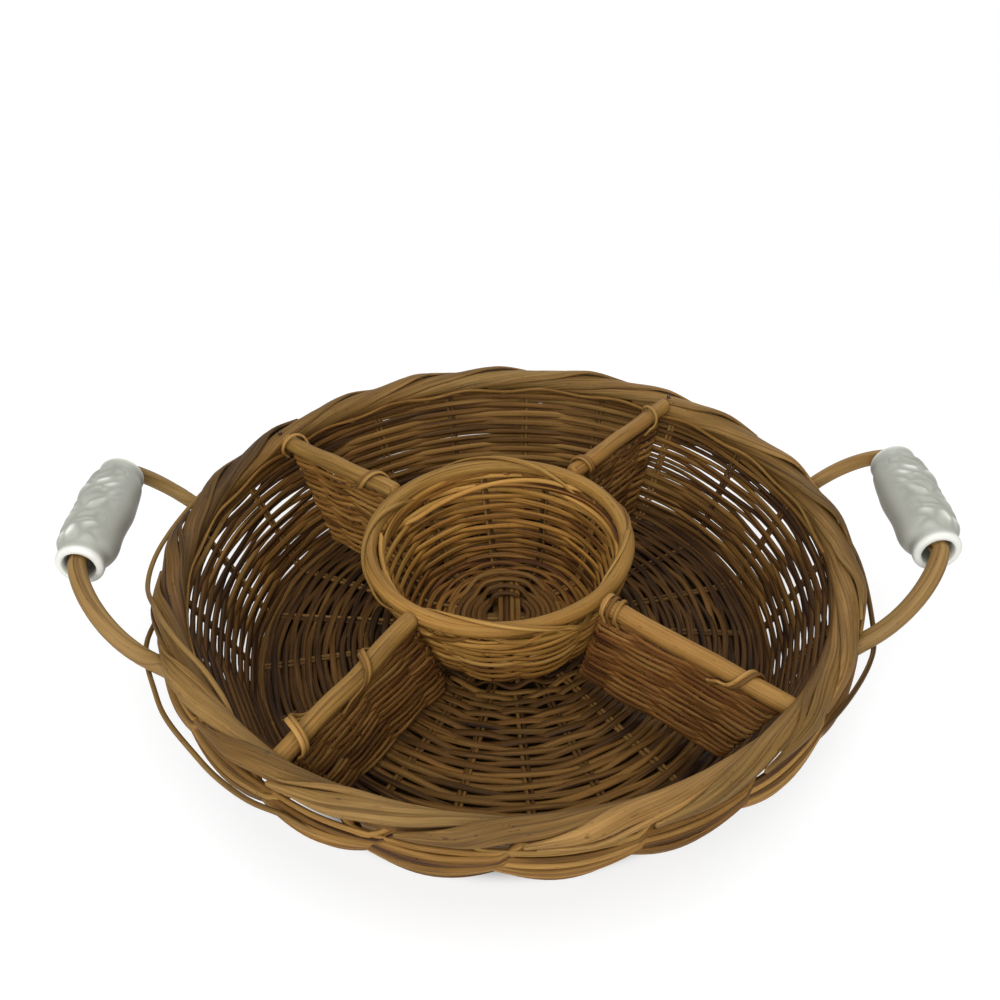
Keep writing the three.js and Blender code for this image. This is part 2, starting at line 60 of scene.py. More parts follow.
def smooth(x, low, high):
    t = np.clip((x - low) / (high - low), 0, 1)
    return t * t * (3 - 2 * t)


def wander(dice, x, period, size):
    total = 0 * x
    for share in (1.0, 0.61, 0.37):  # three waves that never line up
        total = total + np.sin(fullTurn * x / (period * share) + dice.uniform(0, fullTurn))
    return size * total / 3


def nodeBox(node):
    low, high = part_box(node)
    return np.array(low), np.array(high)


def nodesNamed(start):
    return [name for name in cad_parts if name.startswith(start)]


# Shader expressions

class Value:
    def __init__(self, finish, socket):
        self.finish, self.socket = finish, socket

    def combine(self, operation, first, second):
        return self.finish.add("ShaderNodeMath", {"operation": operation}, {0: first, 1: second})

    def __add__(self, other):
        return self.combine("ADD", self, other)

    def __radd__(self, other):
        return self.combine("ADD", other, self)

    def __sub__(self, other):
        return self.combine("SUBTRACT", self, other)

    def __rsub__(self, other):
        return self.combine("SUBTRACT", other, self)

    def __mul__(self, other):
        return self.combine("MULTIPLY", self, other)

    def __rmul__(self, other):
        return self.combine("MULTIPLY", other, self)

    def __gt__(self, other):
        return self.combine("GREATER_THAN", self, other)


class Finish:
    def __init__(self, name, world=False):
        self.holder = bpy.data.worlds.new(name) if world else bpy.data.materials.new(name)
        self.holder.use_nodes = True
        self.tree = self.holder.node_tree
        self.tree.nodes.clear()

    def add(self, kind, settings=None, sockets=None, output=0):
        node = self.tree.nodes.new(kind)
        for key, value in (settings or {}).items():
            if key == "stops":
                ramp = node.color_ramp.elements
                while len(ramp) < len(value):
                    ramp.new(0.5)
                for stop, (place, colour) in zip(ramp, value):
                    stop.position = place
                    stop.color = colour
            else:
                setattr(node, key, value)
        for key, value in (sockets or {}).items():
            if isinstance(value, Value):
                self.tree.links.new(value.socket, node.inputs[key])
            else:
                node.inputs[key].default_value = value
        return Value(self, node.outputs[output] if node.outputs else None)

    def noise(self, vector, scale, detail=2.0, rough=0.5):
        stretched = self.add("ShaderNodeVectorMath", {"operation": "MULTIPLY"}, {0: vector, 1: scale})
        sockets = {"Vector": stretched, "Scale": 1.0, "Detail": detail, "Roughness": rough}
        return self.add("ShaderNodeTexNoise", {}, sockets)

    def ease(self, value, low, high):
        sockets = {"Value": value, "From Min": low, "From Max": high}
        return self.add("ShaderNodeMapRange", {"interpolation_type": "SMOOTHSTEP"}, sockets)

    def ramp(self, share, *stops):
        return self.add("ShaderNodeValToRGB", {"stops": stops}, {"Fac": share})

    def blend(self, share, first, second, kind="MIX"):
        settings = {"data_type": "RGBA", "blend_type": kind}
        return self.add("ShaderNodeMix", settings, {0: share, 6: first, 7: second}, 2)  # the colour sockets

    def seen(self):  # rays that show a surface to the eye, straight or in a gloss
        first, *others = ("Is Camera Ray", "Is Glossy Ray", "Is Transmission Ray")
        total = self.add("ShaderNodeLightPath", output=first)
        for name in others:
            total = total + self.add("ShaderNodeLightPath", output=name)
        return total

    def close(self, shader, output="ShaderNodeOutputMaterial"):
        self.add(output, {}, {"Surface": shader})
        return self.holder


def tint(rgb):  # a colour as a paint chart gives it, to linear light
    line = [c / 255 for c in rgb]
    return tuple(c / 12.92 if c <= 0.04045 else ((c + 0.055) / 1.055) ** 2.4 for c in line) + (1.0,)


def grey(level):
    return (level, level, level, 1.0)


# Cane: long fibres, slow stains along each strand, small pores

caneGrain = dict(
    fibre=(1050.0, 1050.0, 15.0), hair=(3000.0, 3000.0, 75.0), split=(430.0, 430.0, 7.0),
    stain=(70.0, 70.0, 12.0), pore=(900.0, 900.0, 240.0), hue=(0.0, 0.0, 6.0),
    casts=((0.87, 1.04, 0.96, 1.0), (1.15, 0.95, 0.72, 1.0)),  # greenish and ruddy lengths
    toneSpread=0.6,
)


def caneFinish(name, hollow, body, crown, grain=1.0, depth=0.0003, roughness=0.66):
    finish = Finish(name)
    fibre = finish.add("ShaderNodeAttribute", {"attribute_name": "fibre"}, output="Vector")
    tone = finish.add("ShaderNodeAttribute", {"attribute_name": "tone"}, output="Fac")
    streak = finish.noise(fibre, caneGrain["fibre"], 3.0, 0.6)
    hair = finish.noise(fibre, caneGrain["hair"], 2.0, 0.6)
    stain = finish.noise(fibre, caneGrain["stain"], 3.0, 0.55)
    pore = finish.noise(fibre, caneGrain["pore"], 1.0)
    split = finish.noise(fibre, caneGrain["split"], 1.0)
    hue = finish.noise(fibre, caneGrain["hue"], 1.0)
    crease = finish.ease(split, 0.6, 0.7)
    mark = (pore > 0.72) * 0.2 + crease * (0.3 * grain)
    lines = streak - 0.5 + (hair - 0.5) * 0.5 + (stain - 0.5) * 0.8
    shade = 0.53 + (tone - 0.5) * caneGrain["toneSpread"] + lines * grain
    plain = finish.ramp(shade - mark, (0.08, tint(hollow)), (0.5, tint(body)), (0.92, tint(crown)))
    cast = finish.blend(hue, *caneGrain["casts"])
    height = streak * 0.6 + hair * 0.3 - crease * 0.5
    relief = finish.add("ShaderNodeBump", {}, {"Strength": 0.75, "Distance": depth, "Height": height})
    shader = finish.add("ShaderNodeBsdfPrincipled", {}, {
        "Base Color": finish.blend(1.0, plain, cast, "MULTIPLY"),
        "Roughness": roughness + (streak - 0.5) * 0.3,
        "Specular IOR Level": 0.22,
        "Normal": relief,
    })
    return finish.close(shader)


def glazeFinish(name, hollow, body, rim):
    finish = Finish(name)
    place = finish.add("ShaderNodeTexCoord", output="Object")
    cloud = finish.noise(place, (60.0, 60.0, 60.0), 3.0)
    peel = finish.noise(place, (420.0, 420.0, 420.0))
    raised = finish.add("ShaderNodeAttribute", {"attribute_name": "raised"}, output="Fac")
    # the raised attribute carries painted shade and painted highlight laid on with the relief
    shade = raised * 0.85 + cloud * 0.3
    relief = finish.add("ShaderNodeBump", {}, {"Strength": 0.3, "Distance": 0.0002, "Height": peel})
    shader = finish.add("ShaderNodeBsdfPrincipled", {}, {
        "Base Color": finish.ramp(shade, (0.1, tint(hollow)), (0.78, tint(body)), (1.0, tint(rim))),
        "Roughness": 0.44 + cloud * 0.16,
        "Coat Weight": 0.1,
        "Coat Roughness": 0.3,
        "Normal": relief,
    })
    return finish.close(shader)


def nailFinish(name, steel, worn):
    finish = Finish(name)
    place = finish.add("ShaderNodeTexCoord", output="Object")
    rust = finish.noise(place, (900.0, 900.0, 900.0))
    shader = finish.add("ShaderNodeBsdfPrincipled", {}, {
        "Base Color": finish.blend(rust, tint(steel), tint(worn)),
        "Metallic": 0.8,
        "Roughness": 0.4 + rust * 0.3,
    })
    return finish.close(shader)


canes = {  # hollow, body and crown; then grain, depth and roughness where they differ
    "floor": ((28, 11, 1), (90, 61, 26), (142, 104, 54)),
    "wall": ((40, 20, 3), (100, 68, 29), (146, 110, 60)),
    "stake": ((40, 20, 4), (92, 64, 29), (138, 104, 58)),
    "border": ((38, 18, 3), (110, 81, 41), (162, 127, 79), 0.8),
    "tuck": ((52, 27, 5), (120, 85, 39), (166, 128, 74)),
    "lash": ((62, 42, 16), (112, 84, 44), (146, 116, 70)),
    "hoop": ((70, 40, 9), (138, 101, 48), (176, 139, 80), 0.7),
    "cup": ((68, 34, 6), (158, 114, 53), (198, 156, 92)),
    "bar": ((72, 42, 11), (144, 107, 56), (182, 145, 90), 0.75),
    "panel": ((48, 22, 4), (114, 76, 34), (158, 120, 68)),
    # a lighter copy of the panel finish: painted light for the back-left divider, which faces the front lamps
    "litPanel": ((60, 30, 5), (138, 96, 45), (178, 137, 80)),
    "russet": ((58, 24, 4), (126, 82, 38), (166, 124, 72)),
    "rod": ((92, 66, 34), (140, 110, 68), (174, 144, 98), 0.8, 0.0002, 0.55),
}
finishes = {name: caneFinish(f"{name}_cane", *cane) for name, cane in canes.items()}
# the hollow colour serves as painted shade and the rim colour as painted highlight
finishes["glaze"] = glazeFinish("white_glaze", (144, 145, 133), (186, 187, 177), (232, 233, 225))
finishes["nail"] = nailFinish("nail_steel", (58, 46, 38), (96, 78, 60))
print("basket: finishes made", len(finishes))


# Strands: swept sections gathered into one mesh, with fibre places and a tone for each

class Strands:
    def __init__(self, dice=None):
        self.dice = dice
        self.points, self.faces, self.fibre, self.tone = [], [], [], []
        self.count = 0

    def lay(self, path, facing, width, thick, tone, sides=8, squash=1.0, looped=False, curl=0.0):
        start = self.dice.uniform(0, 9) if self.dice else 0.0  # no two strands share their grain
        path = np.asarray(path, float)
        rings = len(path)
        facing = np.broadcast_to(facing, path.shape)
        width = np.broadcast_to(width, rings) / 2
        thick = np.broadcast_to(thick, rings) / 2
        tone = np.broadcast_to(tone, rings)
        if looped:
            tangent = unit(np.roll(path, -1, 0) - np.roll(path, 1, 0))
        else:  # both ends close to a rounded nose
            ends, within = path[[0, -1]], path[[1, -2]]
            nose = np.clip(thick[[0, -1]] / np.linalg.norm(within - ends, axis=1), 0, 0.5)
            order = join([[0], np.arange(rings), [rings - 1]])
            path = path[order]
            path[[1, -2]] = ends + (within - ends) * nose[:, None]
            shrink = np.ones(rings + 2)
            shrink[[0, -1]] = 0.55
            shrink[[1, -2]] = 0.96
            facing, tone = facing[order], tone[order]
            width, thick = width[order] * shrink, thick[order] * shrink
            tangent = unit(np.gradient(path, axis=0))
        across = unit(np.cross(tangent, facing))
        through = np.cross(across, tangent)
        turn = fullTurn * (np.arange(sides) + 0.5) / sides
        wide, deep = (np.sign(wave) * np.abs(wave) ** squash for wave in (np.cos(turn), np.sin(turn)))
        x = width[:, None] * wide[None]
        y = thick[:, None] * deep[None] - curl * x * x  # a wide strip bends round what it covers
        ring = path[:, None] + across[:, None] * x[..., None] + through[:, None] * y[..., None]
        steps = np.linalg.norm(np.diff(path, axis=0), axis=1)
        along = join([[0], np.cumsum(steps)]) + start
        place = np.stack([x, y, np.broadcast_to(along[:, None], x.shape)], -1)
        self.weld(ring, place, tone[:, None], looped)

    def weld(self, ring, place, tone, looped):
        rings, sides = ring.shape[:2]
        near = np.arange(rings if looped else rings - 1)[:, None]
        far = (near + 1) % rings
        side = np.arange(sides)[None]
        other = (side + 1) % sides
        corners = [near * sides + side, near * sides + other, far * sides + other, far * sides + side]
        quads = np.stack(corners, -1).reshape(-1, 4) + self.count
        self.faces.extend(quads.tolist())
        if not looped:
            first = np.arange(sides)[::-1] + self.count
            last = np.arange(sides) + self.count + (rings - 1) * sides
            self.faces.extend([first.tolist(), last.tolist()])
        self.points.append(ring.reshape(-1, 3))
        self.fibre.append(place.reshape(-1, 3))
        self.tone.append(np.broadcast_to(tone, (rings, sides)).ravel())
        self.count += rings * sides


def newStrands(seed):
    dice = np.random.default_rng(seed)
    return Strands(dice), dice


def addPiece(name, strands, finish, nodes=(), body="basket", values="tone"):
    mesh = bpy.data.meshes.new(name)
    mesh.from_pydata(join(strands.points).tolist(), [], strands.faces)
    fibre = mesh.attributes.new("fibre", "FLOAT_VECTOR", "POINT")
    fibre.data.foreach_set("vector", join(strands.fibre).ravel())
    tone = mesh.attributes.new(values, "FLOAT", "POINT")
    tone.data.foreach_set("value", join(strands.tone))
    mesh.shade_smooth()
    mesh.materials.append(finishes[finish])
    piece = bpy.data.objects.new(name, mesh)
    bpy.context.scene.collection.objects.link(piece)
    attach(piece, body)
    if nodes:
        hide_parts(*nodes)


# Places round the basket's axis

def roundSteps(count):
    return np.linspace(0, fullTurn, count, endpoint=False)


def outward(angle):
    angle = np.asarray(angle, float)
    return np.stack([np.cos(angle), np.sin(angle), 0 * angle], -1)


def ringPoint(angle, radius, height):
    return outward(angle) * np.asarray(radius)[..., None] + up * np.asarray(height)[..., None]


def bentRun(start, corner, end, setback):
    start, corner, end = (np.array(p, float) for p in (start, corner, end))
    into = corner - setback * unit(corner - start)
    outOf = corner + setback * unit(end - corner)
    count = 16
    t = np.linspace(0, 1, count)[:, None]
    bend = (1 - t) ** 2 * into + 2 * t * (1 - t) * corner + t ** 2 * outOf
    line = np.vstack([start, bend, end])
    travel = join([[0], np.cumsum(np.linalg.norm(np.diff(line, axis=0), axis=1))])
    return dict(line=line, travel=travel, end=travel[-1], corner=travel[1 + count // 2])


def onRun(run, travel, angle, lift=0.0, sideways=0.0):
    def at(s):
        return np.stack([np.interp(s, run["travel"], run["line"][:, k]) for k in (0, 1)], -1)

    step = 0.0006
    place = at(travel)
    low = np.clip(travel - step, 0, run["end"] - 2 * step)
    heading = unit(at(low + 2 * step) - at(low))
    out = outward(angle)
    normal = out * heading[..., 1:] - up * heading[..., :1]
    along = np.stack([-out[..., 1], out[..., 0], 0 * out[..., 0]], -1)
    point = out * place[..., :1] + up * place[..., 1:]
    lift = np.asarray(lift, float)[..., None]
    return point + normal * lift + along * np.asarray(sideways, float)[..., None], normal


def onRing(radius, height, reach, angle, around):
    out = outward(angle)
    side = out * np.cos(around)[..., None] + up * np.sin(around)[..., None]
    return out * radius + up * height + side * np.asarray(reach)[..., None], side


rollLow, rollHigh = nodeBox("border_roll")
stakeLow = nodeBox("stake_pair_01")[0]
hoopLow, hoopHigh = nodeBox("cup_hoop")
footLow, footHigh = nodeBox("foot_wale")
cupStakeLow = nodeBox("cup_stake_pair_01")[0]

basket = dict(
    stakes=len(nodesNamed("stake_pair")), cornerRadius=0.146, floorCrown=0.008, bend=0.007,
    stakeThick=0.0034,
)
rollSection = (rollHigh[2] - rollLow[2]) / 2
rollHeight = (rollHigh[2] + rollLow[2]) / 2
rollRing = rollHigh[0] - rollSection
floorEdge = stakeLow[2] + basket["stakeThick"] / 2
stakeInner = stakeLow[0]
stakeStep = fullTurn / basket["stakes"]


def floorHeight(radius):
    return floorEdge + basket["floorCrown"] * (1 - radius / basket["cornerRadius"])


wallRun = bentRun(
    (stakeInner, floorHeight(stakeInner)),
    (basket["cornerRadius"], floorEdge),
    (rollRing, rollHeight),
    basket["bend"],
)

cup = dict(stakes=len(nodesNamed("cup_stake_pair")), footRadius=0.051, bend=0.008, stakeThick=0.0028)
hoopRadius = (hoopHigh[2] - hoopLow[2]) / 2
hoopHeight = (hoopHigh[2] + hoopLow[2]) / 2
hoopRing = hoopHigh[0] - hoopRadius
cupFloor = cupStakeLow[2] + cup["stakeThick"] / 2
cupStep = fullTurn / cup["stakes"]
cupRun = bentRun((0.0, cupFloor), (cup["footRadius"], cupFloor), (hoopRing, hoopHeight), cup["bend"])


# Stakes: two rods side by side, from the floor up to the border

stakeRods = dict(diameter=0.0023, apart=0.0026, wobble=0.0004, clear=0.008, seed=3)
rodRun = dict(nearBend=0.010, offBend=0.012, steps=(14, 9, 10), uneven=(0.92, 1.06))


def layStakes(run, count, inner, rods):
    strands, dice = newStrands(rods["seed"])
    corner, near, off = run["corner"], rodRun["nearBend"], rodRun["offBend"]
    end = run["end"] - rods["clear"]
    stretches = [(inner, corner - off), (corner - near, corner + near), (corner + off, end)]
    travel = join([np.linspace(*ends, n) for ends, n in zip(stretches, rodRun["steps"])])
    for i in range(count):
        angle = np.full(len(travel), fullTurn * i / count)
        for side in (-0.5, 0.5):
            shift = side * rods["apart"] + wander(dice, travel, 0.09, rods["wobble"])
            path, normal = onRun(run, travel, angle, 0.0, shift)
            width = rods["diameter"] * dice.uniform(*rodRun["uneven"])
            strands.lay(path, normal, width, width, dice.random())
    return strands


stakes = layStakes(wallRun, basket["stakes"], 0.0, stakeRods)
addPiece("stakes", stakes, "stake", nodesNamed("stake_pair"))
print("basket: stakes laid")


# Weave of the floor and wall: long strands that spiral and change sides at each stake

weave = dict(
    startRadius=0.036, floorPitch=0.0033, wallPitch=0.0030, wallEnd=0.0665, floorWidth=0.0040,
    openWidth=0.0036,
    looser=0.0006,  # strands are thinner still at the back left and right
    tightWidth=0.0040, uneven=(0.85, 1.1), thick=0.0021, swing=0.0013, drift=0.0008, tone=(0.5, 0.24),
    length=(14, 34), perStake=6,
    rise=(-0.010, 0.020),  # these four are measured along the run, from the corner
    opens=(0.020, 0.036), footStart=(-0.016, -0.011), footEnd=(0.003, 0.007),
    armHalf=(0.0108, 0.0198),  # the crossed sticks are passed below
    armEnd=(0.043, 0.049), armHump=0.0078, seed=8,
)


def toward(angle, degrees):
    return np.cos(angle - math.radians(degrees))


def tightness(angle):  # the wall is packed at the back and front, and open at the two sides
    return np.maximum(smooth(toward(angle, 100), 0.62, 0.88), 1.6 * smooth(toward(angle, 270), -0.22, 0.22))


def weavePaintedShade(angle, rise):  # painted shade: the floor is darker to the sides, the wall to the sides and the front; painted light: the wall is paler at the back
    aside, ahead = np.abs(np.cos(angle)), -np.sin(angle)
    onFloor = 0.5 * smooth(aside, 0.45, 0.8)
    onWall = 0.17 * smooth(aside, 0.5, 0.8) - 0.14 * smooth(-ahead, 0.6, 0.9)
    onWall = onWall + 0.55 * smooth(ahead, -0.35, 0.25) * (1 - smooth(ahead, 0.7, 0.95))
    return between(onFloor, onWall, rise)


def overUnder(passed):
    swing = np.cos(math.pi * passed)
    return swing * (1.3 - 0.3 * swing * swing)


def lengths(dice, total, pattern):  # strands end to end, counted in stakes that they pass
    passed = 0
    while passed < total:
        last = min(passed + 2 * int(dice.integers(*pattern["length"]) // 2), total)
        yield np.linspace(passed, last, int((last - passed) * pattern["perStake"]) + 2)
        passed = last


def layBasketWeave():
    floor, dice = newStrands(weave["seed"])
    wall = Strands(dice)
    count, corner = basket["stakes"], wallRun["corner"]
    first = (weave["startRadius"] - stakeInner) * math.hypot(1, basket["floorCrown"] / basket["cornerRadius"])
    cornerRow = (corner - first) / weave["floorPitch"]
    lastRow = cornerRow + weave["wallEnd"] / weave["wallPitch"]
    for u in lengths(dice, lastRow * count, weave):
        row = u / count
        angle = u * stakeStep
        travel = first + weave["floorPitch"] * np.minimum(row, cornerRow)
        travel = travel + weave["wallPitch"] * np.maximum(row - cornerRow, 0)
        rise = smooth(travel - corner, *weave["rise"])
        tight = np.maximum(tightness(angle), 1.1 * (1 - smooth(travel - corner, *weave["opens"])))
        travel = travel + wander(dice, u, 4.1, 1.0) * weave["drift"] * (1.5 - tight * rise)
        past = travel - corner
        atFoot = smooth(past, *weave["footStart"]) * (1 - smooth(past, *weave["footEnd"]))
        swing = overUnder(u)
        swing = np.where(swing > 0, swing * (1 - atFoot), swing)
        lift = weave["swing"] * swing + wander(dice, u, 3.1, 0.0003)
        reach = stakeInner + travel
        nearArm = 1 - smooth(np.abs(reach * np.cos(angle)), *weave["armHalf"])
        nearArm = nearArm * (1 - smooth(reach, *weave["armEnd"]))
        path, normal = onRun(wallRun, travel, angle, between(lift, -weave["armHump"], nearArm))
        loosest = smooth(np.maximum(toward(angle, 36), toward(angle, 156)), 0.84, 0.97)
        onWall = between(weave["openWidth"] - weave["looser"] * loosest, weave["tightWidth"], tight)
        width = between(weave["floorWidth"], onWall, rise)
        width = width * (1 + wander(dice, u, 4.7, 0.13)) * dice.uniform(*weave["uneven"])
        # painted shade, and painted light at the back of the wall, come off each strand's tone by its place
        # round the basket
        tone = dice.normal(*weave["tone"]) + wander(dice, u, 9.0, 0.2) - weavePaintedShade(angle, rise)
        target = floor if np.mean(row < cornerRow) > 0.5 else wall
        target.lay(path, normal, width, weave["thick"], np.clip(tone, 0, 1))
    return floor, wall


floorWeave, wallWeave = layBasketWeave()
addPiece("floor_weave", floorWeave, "floor", ["base_weaver"])
addPiece("wall_weave", wallWeave, "wall", ["side_weaver"])
print("basket: floor and wall woven")


# Foot wale: three rods twisted into a low ring under the corner

wale = dict(rods=3, turns=14, rod=0.0042, flat=1.15, half=0.0055, steps=400, seed=5)


def layFoot():
    strands, dice = newStrands(wale["seed"])
    middle = (footHigh[2] - footLow[2]) / 2
    ring = footHigh[0] - wale["half"]
    reach, rise = wale["half"] - wale["rod"] / 2, middle - wale["rod"] / 2
    angle = roundSteps(wale["steps"])
    for i in range(wale["rods"]):
        around = wale["turns"] * angle + fullTurn * i / wale["rods"]
        path = ringPoint(angle, ring + reach * np.cos(around), middle + rise * np.sin(around))
        strands.lay(path, up, wale["rod"] * wale["flat"], wale["rod"], dice.random(), looped=True)
    return strands


addPiece("foot_wale_rods", layFoot(), "wall", ["foot_wale"])


# Crossed sticks under the floor and in the cup

stick = dict(steps=12, sides=10, uneven=0.0008, fill=0.97)
bundles = [  # piece, node, sticks, axis along them, seed, share of the node's length, finish
    ("base_sticks_top", "base_sticks_upper", 5, 1, 31, 0.76, "stake"),
    ("base_sticks_under", "base_sticks_lower", 5, 0, 32, 0.9, "stake"),
    # the cup's sticks take the darker floor finish: painted shade on the cup's floor
    ("cup_sticks_top", "cup_sticks_upper", 4, 1, 33, 1.0, "floor"),
    ("cup_sticks_under", "cup_sticks_lower", 4, 0, 34, 1.0, "floor"),
]


def laySticks(node, count, along, seed, reach):
    strands, dice = newStrands(seed)
    low, high = nodeBox(node)
    across = 1 - along
    pitch = (high[across] - low[across]) / count
    for i in range(count):
        path = np.zeros((stick["steps"], 3))
        ends = reach * np.linspace(low[along], high[along], stick["steps"])
        path[:, along] = ends + dice.uniform(-stick["uneven"], stick["uneven"])
        wobble = wander(dice, path[:, along], 0.07, 0.0002)
        path[:, across] = low[across] + pitch * (i + 0.5) + wobble
        path[:, 2] = (low[2] + high[2]) / 2
        diameter = pitch * stick["fill"]
        strands.lay(path, up, diameter, diameter, dice.random(), stick["sides"])
    return strands


for name, node, count, along, seed, reach, finish in bundles:
    addPiece(name, laySticks(node, count, along, seed, reach), finish, [node])
print("basket: foot and sticks laid")


# Border: flat bands that rise outside, cross the top and tuck in inside, one for each pair of stakes

border = dict(
    span=2.95, rise=np.radians([6, 204]), wide=(0.0092, 0.0114), slim=(0.0028, 0.0040),
    slimBelow=0.006, thick=0.0019, square=0.6, reach=(0.0077, 0.0048), swell=0.0023, spread=0.0068,
    lean=math.radians(5), uneven=(0.92, 1.08), curl=70.0, steps=46, sides=14, lead=0.72, seed=12,
)
core = dict(strands=5, turns=7, reach=0.0026, width=0.0044, thick=0.0042, darkest=0.4, steps=252, seed=13)


def borderPaintedShading(angle):  # painted shade: darker on the left; painted light: paler at the back and front
    return 0.18 * smooth(abs(math.sin(angle + 0.3)), 0.6, 1.0) - 0.32 * smooth(-math.cos(angle), 0.7, 0.98)


def layBorder():
    strands, dice = newStrands(border["seed"])
    t = np.linspace(0, 1, border["steps"])
    fan = 0.45 + 0.55 * smooth(t, 0.02, 0.3) - 0.3 * smooth(t, 0.7, 1.0)
    taper = (0.3 + 0.7 * smooth(t, 0.0, 0.24)) * (1 - 0.4 * smooth(t, 0.75, 1.0))
    for k in range(basket["stakes"]):
        lean = dice.normal(0, border["lean"])
        middle = stakeStep * (k + border["lead"] + border["span"] / 2)
        # each band's tone takes painted shade on the left and painted light at the back and front
        tone = dice.normal(0.5, 0.13) + borderPaintedShading(middle)
        span = border["span"] * dice.uniform(*border["uneven"])
        lead = border["lead"] + dice.normal(0, 0.07)
        widths = [dice.uniform(*border[kind]) for kind in ("wide", "slim", "wide")]
        widths = np.array(widths[:1 + k % 2] if k % 5 else widths[1:])
        places = np.cumsum(widths) - widths / 2 - widths.sum() / 2
        for width, place in zip(widths, places):
            late = dice.uniform(0, 0.02) + (0.04 if width < border["slimBelow"] else 0.0)
            share = between(late, 1, t)
            angle = stakeStep * (k + lead + span * share)
            around = between(*border["rise"], 0.85 * share + 0.15 * smooth(share, 0, 1)) + lean
            around = around + place * fan / border["spread"] + wander(dice, t, 0.6, border["lean"])
            reach = between(*border["reach"], share) + border["swell"] * np.exp(-((share - 0.2) / 0.1) ** 2)
            reach = reach + wander(dice, t, 0.7, 0.0003)
            path, side = onRing(rollRing, rollHeight, reach, angle, around)
            shade = np.clip(tone + dice.normal(0, 0.12), 0, 1)
            strands.lay(path, side, width * taper, border["thick"], shade, border["sides"], border["square"],
                        curl=border["curl"])
    return strands


def layBorderCore():
    strands, dice = newStrands(core["seed"])
    angle = roundSteps(core["steps"])
    for i in range(core["strands"]):
        around = core["turns"] * angle + fullTurn * i / core["strands"]
        path, side = onRing(rollRing, rollHeight, core["reach"], angle, around)
        tone = dice.random() * core["darkest"]
        strands.lay(path, side, core["width"], core["thick"], tone, looped=True)
    return strands


addPiece("border_bands", layBorder(), "border", ["border_roll"])
addPiece("border_core", layBorderCore(), "wall")
print("basket: border rolled")


# Lower border: thin strands in sagging loops outside the wall, one loop for each pair of stakes

tuck = dict(
    strands=8, span=1.7, strand=0.0032, flat=0.86, top=0.0695, sag=(0.001, 0.0205),
    lower=0.002,  # the last strand starts lower than the first
    radius=0.1825, bulge=0.0026, pile=0.0019, slant=0.0014, hug=0.0030,
    slip=(0.0065, 0.003),  # how far the ends slip in and up
    slipShare=0.17, steps=26, lead=0.1, seed=14,
)


def layTuck():
    strands, dice = newStrands(tuck["seed"])
    t = np.linspace(0, 1, tuck["steps"])
    belly = np.sin(math.pi * t) ** 1.15
    slipped = 1 - smooth(np.minimum(t, 1 - t), 0.0, tuck["slipShare"])
    slipIn, slipUp = tuck["slip"]
    for k in range(basket["stakes"]):
        for j in range(tuck["strands"]):
            share = j / (tuck["strands"] - 1)
            heap = math.sin(math.pi * share)
            span = tuck["span"] * dice.uniform(0.93, 1.07)
            angle = stakeStep * (k + tuck["lead"] + span * (t - 0.5))
            sag = between(*tuck["sag"], share) * dice.uniform(0.9, 1.08)
            height = tuck["top"] - sag * belly - tuck["lower"] * share + wander(dice, t, 0.9, 0.0003)
            radius = tuck["radius"] + tuck["bulge"] * belly * (0.4 + 0.6 * heap) + tuck["pile"] * heap
            radius = radius + tuck["slant"] * (t - 0.5) - tuck["hug"] * share * share - slipIn * slipped
            path = ringPoint(angle, radius, height + slipUp * slipped)
            width = tuck["strand"] * dice.uniform(0.88, 1.15)
            strands.lay(path, outward(angle), width, width * tuck["flat"], dice.random())
    return strands


addPiece("lower_border_strands", layTuck(), "tuck", nodesNamed("lower_border"))
print("basket: lower border tucked")


# Thin strands along the inside of the border, and a few that hang loose outside it

rand = dict(
    strands=3, strand=0.0027, flat=0.85, reach=0.0070, ripple=0.0006,
    around=np.radians([208, 246]), sway=math.radians(9), steps=294, seed=16,
)
loose = dict(
    strand=0.0026, steps=60, seed=17,
    routes=[  # degrees, then radius and height in millimetres
        [(160, 181, 81), (169, 188.5, 75), (178, 193, 72), (186.5, 191.5, 74), (196, 183.5, 84),
         (206.5, 175.5, 87), (213, 170.5, 84.5), (219, 169.5, 79), (224, 172.5, 73)],
        [(186, 183, 60), (196.5, 192.5, 64), (207, 193, 66), (212.5, 193.5, 66), (220.5, 192, 66),
         (227, 192, 66), (233.5, 191, 66), (238.3, 188, 65), (243, 186.5, 62), (251, 182, 60)],
        [(4, 181, 80), (-3, 186.5, 75), (-13, 191, 67), (-20, 193, 66), (-24, 192.5, 66),
         (-31, 189.5, 66), (-38, 186.5, 66), (-47, 181.5, 62)],
    ],
)


def layRand():
    strands, dice = newStrands(rand["seed"])
    angle = roundSteps(rand["steps"])
    waves = basket["stakes"] * angle
    for i in range(rand["strands"]):
        around = between(*rand["around"], i / (rand["strands"] - 1)) + rand["sway"] * np.sin(waves + 2.1 * i)
        around = around + wander(dice, angle, 2.1, 0.05)
        reach = rand["reach"] + rand["ripple"] * np.sin(waves + i)
        path, side = onRing(rollRing, rollHeight, reach, angle, around)
        width = rand["strand"] * dice.uniform(0.9, 1.1)
        strands.lay(path, side, width, width * rand["flat"], dice.random(), looped=True)
    return strands


def curve(points, count):  # a smooth run through the points
    points = np.asarray(points, float)
    at = np.linspace(0, len(points) - 1, count)
    before = np.clip(np.floor(at).astype(int), 0, len(points) - 2)
    t = (at - before)[:, None]
    p0, p1 = points[np.clip(before - 1, 0, None)], points[before]
    p2, p3 = points[before + 1], points[np.clip(before + 2, None, len(points) - 1)]
    return 0.5 * (2 * p1 + (p2 - p0) * t + (2 * p0 - 5 * p1 + 4 * p2 - p3) * t ** 2
                  + (3 * p1 - p0 - 3 * p2 + p3) * t ** 3)


